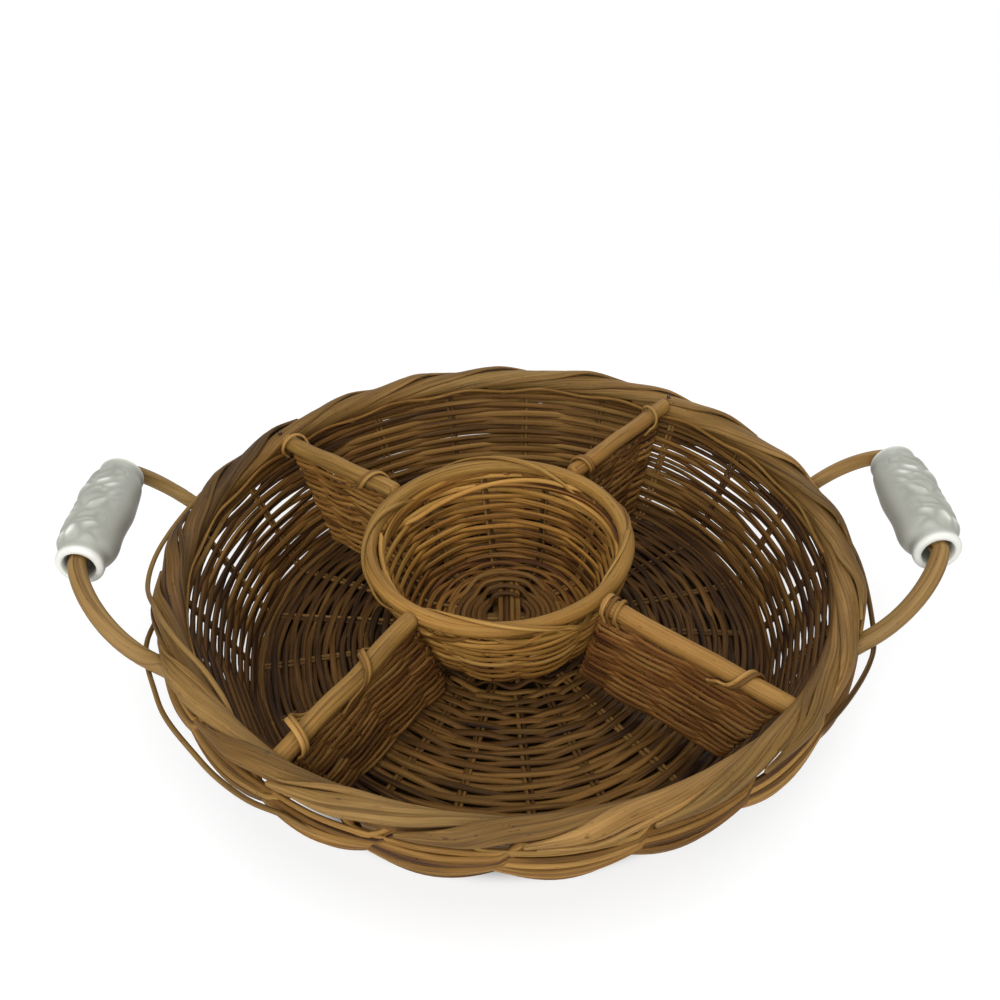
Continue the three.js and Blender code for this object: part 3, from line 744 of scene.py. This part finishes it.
def layLoose():
    strands, dice = newStrands(loose["seed"])
    for route in loose["routes"]:
        degrees, radius, height = curve(route, loose["steps"]).T
        angle = np.radians(degrees)
        path = ringPoint(angle, radius / 1000, height / 1000)
        strands.lay(path, outward(angle), loose["strand"], loose["strand"], dice.random())
    return strands


addPiece("border_inner_strands", layRand(), "tuck")
addPiece("border_loose_strands", layLoose(), "lash")
print("basket: loose strands laid")


# Cup: set a little to the left and back, as the maker left it

cupLean = dict(foot=np.array([-0.002, 0.001, 0.0]), hoop=np.array([-0.0055, 0.002, 0.0]))


def leant(strands):
    for points in strands.points:
        share = np.clip((points[:, 2:] - cupFloor) / (hoopHeight - cupFloor), 0, 1.1)
        points += between(cupLean["foot"], cupLean["hoop"], share)
    return strands


cupRods = dict(diameter=0.0020, apart=0.0023, wobble=0.0003, clear=0.003, seed=41, inner=0.029)
cupStakes = layStakes(cupRun, cup["stakes"], cupRods["inner"], cupRods)
addPiece("cup_stakes", leant(cupStakes), "stake", nodesNamed("cup_stake_pair"))

cupWeave = dict(
    start=0.031, pitch=0.0032, width=0.0035, uneven=(0.88, 1.06), thick=0.0018, swing=0.0016,
    length=(9, 22), perStake=8, clear=0.0035, tone=(0.42, 0.2), pale=0.3, cupPaintedShade=0.62,
    cupPaintedShadeEnd=(-0.004, 0.018),  # along the run, from the corner
    seed=42,
)
cupRings = dict(
    start=0.0125, pitch=0.0031, width=0.0031, thick=0.0021, lift=0.0002, hump=0.0058, tone=(0.4, 0.2),
    steps=96, seed=43,
)


def layCupWeave():
    strands, dice = newStrands(cupWeave["seed"])
    rows = (cupRun["end"] - cupWeave["clear"] - cupWeave["start"]) / cupWeave["pitch"]
    for u in lengths(dice, rows * cup["stakes"], cupWeave):
        angle = u * cupStep
        travel = cupWeave["start"] + cupWeave["pitch"] * u / cup["stakes"] + wander(dice, u, 4.1, 0.0004)
        lift = cupWeave["swing"] * overUnder(u) + wander(dice, u, 2.7, 0.0002)
        path, normal = onRun(cupRun, travel, angle, lift)
        width = cupWeave["width"] * (1 + wander(dice, u, 3.3, 0.1)) * dice.uniform(*cupWeave["uneven"])
        # painted light on the front of the cup, and painted shade on the cup's floor
        pale = cupWeave["pale"] * smooth(-np.sin(angle), 0.1, 0.8)
        cupPaintedShade = cupWeave["cupPaintedShade"] * (1 - smooth(travel - cupRun["corner"], *cupWeave["cupPaintedShadeEnd"]))
        tone = np.clip(dice.normal(*cupWeave["tone"]) + pale - cupPaintedShade, 0, 1)
        strands.lay(path, normal, width, cupWeave["thick"], tone)
    return strands


def layCupRings():  # close rounds that bind the crossed sticks, every other one over the upper sticks
    strands, dice = newStrands(cupRings["seed"])
    angle = roundSteps(cupRings["steps"])
    hump = cupRings["hump"] * smooth(-np.cos(angle) ** 2, -0.62, -0.2)
    radii = np.arange(cupRings["start"], cupWeave["start"] + cupRings["pitch"] / 2, cupRings["pitch"])
    for i, radius in enumerate(radii):
        height = cupFloor + cupRings["lift"] + hump * (i % 2 == 0)
        path = ringPoint(angle, radius + wander(dice, angle, fullTurn, 0.0003), height)
        tone = np.clip(dice.normal(*cupRings["tone"]), 0, 1)
        strands.lay(path, up, cupRings["width"], cupRings["thick"], tone, looped=True)
    return strands


addPiece("cup_weave", leant(layCupWeave()), "cup", ["cup_weaver"])
# the binding takes the darker wall finish: painted shade on the cup's floor
addPiece("cup_binding", leant(layCupRings()), "wall")

hoop = dict(knots=(0.035, 0.02), oval=0.0006, tone=0.55, steps=200, sides=20, seed=44)
lash = dict(
    wraps=4, top=math.radians(-5), strands=2, apart=0.035, width=0.0024, thick=0.0015, clear=0.0002,
    slack=0.0022, steps=320, seed=45,
)
cupRand = dict(
    inside=9, outside=11, strand=0.003, flat=0.8, span=(70, 125), clear=0.0035, drop=0.015,
    reach=(0.0047, 0.001),  # least, and what chance adds
    tuckIn=0.0018, steps=34, seed=46,
)


def layHoop():
    strands = newStrands(hoop["seed"])[0]
    angle = roundSteps(hoop["steps"])
    few, many = hoop["knots"]
    size = 2 * hoopRadius * (1 + few * np.sin(3 * angle + 1) + many * np.sin(7 * angle + 2))
    path = ringPoint(angle, hoopRing + hoop["oval"] * np.sin(2 * angle + 0.5), hoopHeight)
    strands.lay(path, up, size, size, hoop["tone"], hoop["sides"], looped=True)
    return strands


def layHoopLash():
    strands, dice = newStrands(lash["seed"])
    angle = roundSteps(lash["steps"])
    for i in range(lash["strands"]):
        turn = lash["wraps"] * (angle - lash["top"] - lash["apart"] * i)
        around = math.pi / 2 - turn + 0.35 * np.sin(turn) + wander(dice, angle, fullTurn, 0.12)
        reach = hoopRadius + lash["thick"] / 2 + lash["clear"]
        reach = reach + lash["slack"] * smooth(-np.sin(around), 0.2, 0.9)
        path, side = onRing(hoopRing, hoopHeight, reach, angle, around)
        strands.lay(path, side, lash["width"], lash["thick"], dice.random(), looped=True)
    return strands


def layCupRand():  # strands laid in slack loops under the hoop, inside and outside
    strands, dice = newStrands(cupRand["seed"])
    t = np.linspace(0, 1, cupRand["steps"])
    tucked = smooth(t, 0.0, 0.12) * (1 - smooth(t, 0.88, 1.0))
    least, extra = cupRand["reach"]
    for side, count in ((-1, cupRand["inside"]), (1, cupRand["outside"])):
        sag = np.sin(math.pi * t) ** 0.8 if side > 0 else smooth(t, 0.0, 0.9)
        for i in range(count):
            span = math.radians(dice.uniform(*cupRand["span"]))
            angle = fullTurn * (i + dice.uniform(-0.3, 0.3)) / count + span * t
            travel = cupRun["end"] - cupRand["clear"] - cupRand["drop"] * dice.uniform(0.3, 1.0) * sag
            lift = side * ((least + extra * dice.random()) * tucked - cupRand["tuckIn"])
            path, normal = onRun(cupRun, travel, angle, lift)
            width = cupRand["strand"] * dice.uniform(0.85, 1.15)
            strands.lay(path, normal, width, width * cupRand["flat"], dice.random())
    return strands


addPiece("cup_slack_strands", leant(layCupRand()), "cup")
addPiece("cup_hoop_ring", leant(layHoop()), "hoop", ["cup_hoop"])
addPiece("cup_lashing", leant(layHoopLash()), "hoop")
print("basket: cup woven and bound")


# Dividers: a bar on posts, a panel woven to and fro between them, and ties round the bar

divider = dict(
    bar=0.0096,
    barInner=(0.9, 0.0005),  # share of the hoop's radius that it reaches, and lift
    barOuter=0.1725, barSides=20, posts=4, post=0.0028, postRise=(-0.02, 0.97), rows=27, perRow=34,
    perStrand=3, strand=0.0031, thick=0.0018, swing=0.0011, top=0.93,
    topEnds=(0.045, 0.935),  # the part of the bar above the panel
    turnOut=0.028, footInner=0.0590, footOuter=0.1390, footLift=0.0048, seed=51,
)
bars = [
    dict(inner=53.6, outer=53.5, height=0.0785, finish="panel"),
    # painted light: the back-left panel takes the lighter copy of the panel finish
    dict(inner=143.1, outer=142.7, height=0.0785, finish="litPanel"),
    dict(inner=234.4, outer=233.3, height=0.0735, finish="panel"),
    dict(inner=315.5, outer=319.0, height=0.0735, finish="russet"),
]


def dividerPlane(bar):
    inner, outer = math.radians(bar["inner"]), math.radians(bar["outer"])
    share, lift = divider["barInner"]
    start = ringPoint(inner, hoopRing + hoopRadius * share, hoopHeight + lift) + cupLean["hoop"]
    end = ringPoint(outer, divider["barOuter"], bar["height"])
    footStart, footEnd = (
        ringPoint(angle, radius, floorHeight(radius) + divider["footLift"])
        for angle, radius in ((inner, divider["footInner"]), (outer, divider["footOuter"]))
    )
    side = unit(np.cross(up, end - start))
    return dict(start=start, end=end, footStart=footStart + cupLean["foot"], footEnd=footEnd, side=side)


def onBar(plane, share):
    return between(plane["start"], plane["end"], np.asarray(share, float)[..., None])


def onPanel(plane, share, rise):
    foot = between(plane["footStart"], plane["footEnd"], np.asarray(share, float)[..., None])
    return between(foot, onBar(plane, between(*divider["topEnds"], share)), rise[..., None])


def layBar(plane, dice):
    strands = Strands(dice)
    share = np.linspace(0, 1, 30)
    path = onBar(plane, share) + plane["side"] * wander(dice, share, 1.3, 0.0007)[:, None]
    path = path + up * wander(dice, share, 1.1, 0.0005)[:, None]
    size = divider["bar"] * (1 + wander(dice, share, 0.7, 0.04))
    strands.lay(path, up, size, size, 0.5, divider["barSides"])
    rise = np.linspace(*divider["postRise"], 8)
    for i in range(divider["posts"]):
        post = onPanel(plane, i / (divider["posts"] - 1), rise)
        strands.lay(post, plane["side"], divider["post"], divider["post"], 0.2 * dice.random())
    return strands


def layPanel(plane, dice):
    strands = Strands(dice)
    posts, rows, top = divider["posts"], divider["rows"], divider["top"]
    u = np.linspace(0, posts - 1, divider["perRow"])
    turn = np.linspace(0, math.pi, 7)[1:-1]  # round the end post
    past = join([u / (posts - 1), 1 + divider["turnOut"] * np.sin(turn)])
    sag = wander(dice, u, 5.1, 0.04)
    share, rise, side = [], [], []
    for row in range(rows):
        swing = divider["swing"] * overUnder(u) + wander(dice, u, 2.3, 0.0005)
        place = (row + 0.5) / rows
        level = top * place + sag * math.sin(math.pi * place) + wander(dice, u, 3.3, 0.017)
        share.append(past if row % 2 == 0 else 1 - past)
        rise.append(join([level, level[-1] + top / rows * turn / math.pi]))
        side.append(join([swing, swing[-1] * np.cos(turn)]))
    for first in range(0, rows, divider["perStrand"]):
        here = slice(first, first + divider["perStrand"])
        shares, rises, sides = (join(part[here]) for part in (share, rise, side))
        path = onPanel(plane, shares, rises) + plane["side"] * sides[:, None]
        along = np.linspace(0, 1, len(path))
        width = divider["strand"] * dice.uniform(0.92, 1.12) * (1 + wander(dice, along, 0.13, 0.09))
        tone = np.clip(0.5 + wander(dice, along, 0.6, 0.5), 0, 1)
        strands.lay(path, plane["side"], width, divider["thick"], tone)
    return strands


ties = dict(
    width=0.0024, thick=0.0015,
    beside=0.0024 * 0.97 / 0.095,  # next strand of a tie: most of a width, over the bar's length
    clear=0.0002, slack=0.001, wrap=math.radians(125), tail=0.006, pinch=0.3, steps=56,
    runs=[  # where each leaves, crosses the top and tucks in; first side, slack, strands
        [(0.05, 0.09, 0.14, 1, 0.7, 2), (0.72, 0.81, 0.90, -1, 1.6, 1)],
        [(0.35, 0.17, 0.07, 1, 1.6, 2), (0.95, 0.90, 0.76, 1, 2.2, 1)],
        [(0.17, 0.36, 0.58, -1, 1.0, 2), (0.56, 0.84, 0.88, -1, 4.4, 2)],
        [(0.03, 0.03, 0.04, 1, 0.4, 1), (0.06, 0.06, 0.07, 1, 0.3, 1), (0.09, 0.10, 0.12, 1, 0.6, 1),
         (0.59, 0.76, 0.84, -1, 0.8, 2)],
    ],
)


def layTies(plane, runs, dice):
    strands = Strands(dice)
    above = np.cross(unit(plane["end"] - plane["start"]), plane["side"])
    t = np.linspace(0, 1, ties["steps"])
    tail = (1 - smooth(t, 0.0, 0.18)) + smooth(t, 0.82, 1.0)
    swell = np.sin(math.pi * t ** 0.6) ** 2
    for leave, cross, tuckIn, first, slack, count in runs:
        around = math.pi / 2 - first * ties["wrap"] * np.cos(math.pi * smooth(t, 0.02, 0.98))
        ring = plane["side"] * np.cos(around)[:, None] + above * np.sin(around)[:, None]
        share = leave * (1 - t) * (1 - 2 * t) + 4 * cross * t * (1 - t) + tuckIn * t * (2 * t - 1)
        reach = divider["bar"] / 2 + ties["thick"] / 2 + ties["clear"] + ties["slack"] * slack * swell
        reach = reach * (1 - ties["pinch"] * tail)
        for i in range(count):
            place = onBar(plane, share + i * ties["beside"]) - up * (ties["tail"] * tail)[:, None]
            width = ties["width"] * dice.uniform(0.85, 1.12)
            strands.lay(place + ring * reach[:, None], ring, width, ties["thick"], dice.random())
    return strands


for k, bar in enumerate(bars):
    number = k + 1
    plane = dividerPlane(bar)
    dice = np.random.default_rng(divider["seed"] + k)
    addPiece(f"divider_bar_{number}", layBar(plane, dice), "bar", [f"divider_frame_{number}"])
    panel = layPanel(plane, dice)
    addPiece(f"divider_panel_{number}", panel, bar["finish"], [f"divider_weaver_{number}"])
    addPiece(f"divider_ties_{number}", layTies(plane, ties["runs"][k], dice), "bar")
print("basket: dividers woven and tied")


# A nail through the border into the end of each bar

nail = dict(ring=0.1762, height=0.0838, head=0.0024, stem=0.004, sides=12)


def layNails():
    strands = Strands()
    for bar in bars:
        angle = math.radians(bar["outer"])
        path = ringPoint(angle, nail["ring"], nail["height"]) - up * np.linspace(0, nail["stem"], 5)[:, None]
        strands.lay(path, outward(angle), nail["head"], nail["head"], 0.5, nail["sides"])
    return strands


addPiece("bar_nails", layNails(), "nail")


# Handles: a bent rod each, with a loose ceramic grip

handle = dict(
    rod=0.0094, thinBack=0.14, clear=0.0003, legStraight=0.008, straightSteps=6, arcSteps=26,
    gripSteps=11, sides=16, stub=0.011, soften=1.5, aslant=(0.7, 0.0, -0.7), seed=81,
    legs={"right": (0.060, 0.067), "left": (0.051, 0.075)},  # back and front, from the middle
)


def legPath(top, gripHalf, spread):  # from the foot under the border up to the end of the grip
    roll = np.array([math.sqrt(rollRing ** 2 - spread ** 2), rollHeight])
    toRoll = roll - top
    passGap = rollSection + handle["rod"] / 2 + handle["clear"]
    distance = np.linalg.norm(toRoll)
    slip = math.asin(passGap / distance)
    c, s = math.cos(slip), math.sin(slip)
    heading = np.array([c * toRoll[0] - s * toRoll[1], s * toRoll[0] + c * toRoll[1]]) / distance
    legPass = math.sqrt(distance ** 2 - passGap ** 2)
    turn = np.linspace(0, math.pi / 2, handle["arcSteps"])
    straight = np.linspace(-handle["stub"], handle["legStraight"] * 0.8, handle["straightSteps"])
    reach = join([straight, between(handle["legStraight"], legPass, np.sin(turn))])
    sweep = np.clip(np.cos(turn), 0, 1) ** handle["soften"]
    side = join([np.full(len(straight), spread), between(gripHalf, spread, sweep)])
    place = top - heading * (reach - legPass)[:, None]
    return np.stack([place[:, 0], side, place[:, 1]], -1)


def handlePath(side, sign, gripLow, gripHigh, rodHigh):
    gripHalf = (gripHigh[1] - gripLow[1]) / 2
    top = np.array([sign * (gripLow[0] + gripHigh[0]) / 2, rodHigh[2] - handle["rod"] / 2])
    back, front = handle["legs"][side]
    inGrip = np.linspace(0.9, -0.9, handle["gripSteps"])[:, None] * [0, gripHalf, 0] + [top[0], 0, top[1]]
    backLeg = legPath(top, gripHalf, back)
    frontLeg = legPath(top, gripHalf, front) * [1, -1, 1]
    return np.vstack([backLeg, inGrip, frontLeg[::-1]]) * [sign, 1, 1]


def layRod(path, seed):
    strands, dice = newStrands(seed)
    share = np.linspace(0, 1, len(path))
    size = handle["rod"] * (1 - handle["thinBack"] * (1 - share) + wander(dice, share, 0.5, 0.02))
    normal = np.cross(unit(np.gradient(path, axis=0)), handle["aslant"])
    strands.lay(path, normal, size, size, 0.5, handle["sides"])
    return strands


grip = dict(
    end=0.0119, body=0.0144, shoulder=0.021, bore=0.0073, boreSteps=24,
    mouth=(0.0014, 0.0012),  # length and flare of the bore's ends
    edge=0.0022, edgeSteps=6, bodySteps=84, relief=0.0015,
    field=(0.005, 0.011),  # where the relief begins, from the end
    shown=np.radians([75, 120]),  # how far round it goes
    faces=math.radians(35), collar=0.0055,
    neck=(0.0009, 0.0078, 0.003),  # depth, place from the end, width
    wave=(0.0004, 210.0),  # slow swell of the whole sleeve, size and pace
    warp=0.0009, ridges=26, ridge=(0.0065, 0.0022), lumps=76, around=128, seed=91,
)


def softRelief(along, turn, dice):  # lumps with creases between them, on a few broad soft ridges
    along, turn = np.broadcast_arrays(along, turn)
    x = turn * grip["body"] + grip["warp"] * np.sin(along / 0.0027 + 3 * turn)
    y = along + grip["warp"] * np.sin(turn * 4.1 + along / 0.004)
    nearest, second = np.ones(along.shape), np.ones(along.shape)
    for i in range(grip["lumps"]):
        dy, dx = y - dice.uniform(-0.034, 0.034), x - dice.uniform(-1.9, 1.9) * grip["body"]
        apart = np.hypot(0.85 * dy - 0.5 * dx, 0.55 * (0.85 * dx + 0.5 * dy))
        second = np.minimum(second, np.maximum(nearest, apart))
        nearest = np.minimum(nearest, apart)
    lumps = smooth(1 - nearest / second, 0.0, 0.75)
    broad = 0 * along
    ridgeLong, ridgeWide = grip["ridge"]
    for i in range(grip["ridges"]):
        tilt = dice.normal(0.35, 0.5)
        ds, da = along - dice.uniform(-0.027, 0.027), (turn - dice.uniform(-1.6, 1.6)) * grip["body"]
        p = da * math.cos(tilt) + ds * math.sin(tilt)
        q = ds * math.cos(tilt) - da * math.sin(tilt) + 9 * p * p
        broad = broad + dice.uniform(0.5, 1.0) * np.exp(-(p / ridgeLong) ** 2 - (q / ridgeWide) ** 2)
    return 0.45 * lumps + 0.55 * np.tanh(broad)


def layGrip(low, high, sign):
    strands, dice = newStrands(grip["seed"])
    half = (high[1] - low[1]) / 2
    centre = (low + high) / 2
    rim = np.linspace(0, grip["edge"], grip["edgeSteps"])
    middle = np.linspace(0.003 - half, half - 0.003, grip["bodySteps"])
    s = join([rim - half, middle, half - rim[::-1]])
    gap = np.abs(s)
    radius = between(grip["end"], grip["body"], smooth(half - gap, 0.001, grip["shoulder"]))
    neckDepth, neckPlace, neckWidth = grip["neck"]
    radius = radius - neckDepth * np.exp(-((half - gap - neckPlace) / neckWidth) ** 2)
    fillet = np.clip((gap - (half - grip["edge"])) / grip["edge"], 0, 1)
    radius = radius - grip["edge"] * (1 - np.sqrt(1 - fillet ** 2))
    turn = roundSteps(grip["around"])
    facing = (turn + math.pi) % fullTurn - math.pi
    inField = smooth(half - gap, *grip["field"])[:, None]
    shown = inField * (1 - smooth(np.abs(facing), *grip["shown"]))
    raised = softRelief(s[:, None], facing[None], dice) * shown
    swell, pace = grip["wave"]
    wave = swell * np.sin(pace * s[:, None] + 2 * np.sin(facing)) * inField
    reach = radius[:, None] + grip["relief"] * raised + wave
    # painted shade in the relief's hollows and on the plain inner side, painted highlight on its crests
    gripPaintedShading = 0.7 * (raised + 0.65 * (1 - shown)) + 0.34 * smooth(raised, 0.4, 0.8)
    # painted highlight on the collars at both ends
    gripPaintedShading = between(gripPaintedShading, 1, smooth(gap, half - grip["collar"], half - 0.001)[:, None])
    inner = np.linspace(half, -half, grip["boreSteps"])
    mouthLong, flare = grip["mouth"]
    mouth = np.clip((np.abs(inner) - (half - mouthLong)) / mouthLong, 0, 1)[:, None]
    reach = np.vstack([reach, np.tile(grip["bore"] + flare * mouth ** 2, len(turn))])
    # painted shade inside the bore, going over to painted highlight at its mouths
    gripPaintedShading = np.vstack([gripPaintedShading, np.tile(mouth, len(turn))])
    spin = (grip["faces"] if sign > 0 else math.pi - grip["faces"]) + sign * turn
    y = np.broadcast_to(join([s, inner])[:, None], reach.shape)
    ring = np.stack([centre[0] + reach * np.cos(spin), y, centre[2] + reach * np.sin(spin)], -1)
    strands.weld(ring, ring - centre, gripPaintedShading, looped=True)
    if sign < 0:
        strands.faces = [face[::-1] for face in strands.faces]
    return strands


for side, sign in (("right", 1), ("left", -1)):
    rodHigh = nodeBox(f"{side}_handle_rod")[1]
    gripLow, gripHigh = nodeBox(f"{side}_handle_grip")
    path = handlePath(side, sign, gripLow, gripHigh, rodHigh)
    addPiece(f"{side}_rod", layRod(path, handle["seed"] + sign), "rod", [f"{side}_handle_rod"])
    addPiece(f"{side}_grip_sleeve", layGrip(gripLow, gripHigh, sign), "glaze",
             [f"{side}_handle_grip"], f"{side}_grip", "raised")
print("basket: handles bent and gripped")


# Studio: a white floor that keeps a soft shadow, a broad light from above, and the camera

studio = dict(
    floorSize=6.0, floorGlow=0.7, floorAlbedo=0.38, bounce=0.7, far=(0.36, 0.8), ambient=0.3,
    shade=(0.142, 0.157), shadeColour=(0.06, 0.04, 0.02, 1.0), target=(0.0, 0.0, 0.05),
)
lamps = [  # name, place, size, power
    ("top_light", (0.1, -0.15, 1.5), 1.2, 9),
    ("front_light", (-0.35, -1.15, 1.15), 0.9, 9),
    ("low_light", (-0.2, -1.5, 0.5), 0.9, 9),
    ("back_light", (0.3, 1.4, 0.8), 1.0, 5),
]


def floorFinish():
    finish = Finish("studio_floor")
    place = finish.add("ShaderNodeNewGeometry")
    reach = finish.add("ShaderNodeVectorMath", {"operation": "LENGTH"}, {0: place}, "Value")
    # painted shadow: inside the basket's foot the floor takes the dark shadeColour and does not glow
    clear, far = finish.ease(reach, *studio["shade"]), finish.ease(reach, *studio["far"])
    paper = finish.blend(far, grey(studio["floorAlbedo"]), grey(0.0))  # far off it only glows
    glow = finish.blend(far, grey(studio["floorGlow"]), grey(1.0))
    matte = {"Roughness": 1.0, "Specular IOR Level": 0.0}
    shown = finish.add("ShaderNodeBsdfPrincipled", {}, {
        **matte,
        "Base Color": finish.blend(clear, studio["shadeColour"], paper),
        "Emission Color": finish.blend(clear, grey(0.0), glow),
        "Emission Strength": 1.0,
    })
    pale = finish.add("ShaderNodeBsdfPrincipled", {}, {
        **matte,
        "Base Color": finish.blend(clear, studio["shadeColour"], grey(studio["bounce"])),
    })
    return finish.close(finish.add("ShaderNodeMixShader", {}, {0: finish.seen(), 1: pale, 2: shown}))


def addFloor():
    half = studio["floorSize"] / 2
    corners = [(-half, -half, 0), (half, -half, 0), (half, half, 0), (-half, half, 0)]
    mesh = bpy.data.meshes.new("studio_floor")
    mesh.from_pydata(corners, [], [(0, 1, 2, 3)])
    mesh.materials.append(floorFinish())
    floor = bpy.data.objects.new("studio_floor", mesh)
    bpy.context.scene.collection.objects.link(floor)


def addWorld():
    finish = Finish("studio_world", world=True)
    soft, white = (
        finish.add("ShaderNodeBackground", {}, {"Color": grey(1.0), "Strength": strength})
        for strength in (studio["ambient"], 1.0)
    )
    mix = finish.add("ShaderNodeMixShader", {}, {0: finish.seen(), 1: soft, 2: white})
    bpy.context.scene.world = finish.close(mix, "ShaderNodeOutputWorld")


def addItem(name, data, axes, place):
    item = bpy.data.objects.new(name, data)
    item.matrix_world = Matrix([[*row, p] for row, p in zip(axes.tolist(), place)] + [[0, 0, 0, 1]])
    bpy.context.scene.collection.objects.link(item)
    return item


def addLamp(name, place, size, power):
    lamp = bpy.data.lights.new(name, "AREA")
    lamp.shape = "DISK"
    lamp.size = size
    lamp.energy = power
    back = unit(np.array(place) - studio["target"])
    side = unit(np.cross([0.0, 1.0, 0.0], back))
    addItem(name, lamp, np.stack([side, np.cross(back, side), back], 1), place)


camera = dict(
    place=(0.0, -0.41244, 0.42602), elevation=math.radians(40.88), roll=math.radians(-0.91), lens=35.94,
    sensor=36.0, shift=(-0.0086, 0.05905), near=0.01,
)


def addCamera():
    data = bpy.data.cameras.new("camera")
    data.sensor_width = camera["sensor"]
    data.sensor_fit = "HORIZONTAL"
    data.lens = camera["lens"]
    data.shift_x, data.shift_y = camera["shift"]
    data.clip_start = camera["near"]
    tilt = camera["elevation"]
    back = np.array([0.0, -math.cos(tilt), math.sin(tilt)])
    right = np.array([1.0, 0.0, 0.0])
    above = np.cross(back, right)
    c, s = math.cos(camera["roll"]), math.sin(camera["roll"])
    axes = np.stack([c * right + s * above, c * above - s * right, back], 1)
    bpy.context.scene.camera = addItem("camera", data, axes, camera["place"])


addFloor()
addWorld()
for lamp in lamps:
    addLamp(*lamp)
addCamera()
bpy.context.scene.view_settings.view_transform = "Standard"
print("basket: studio ready")
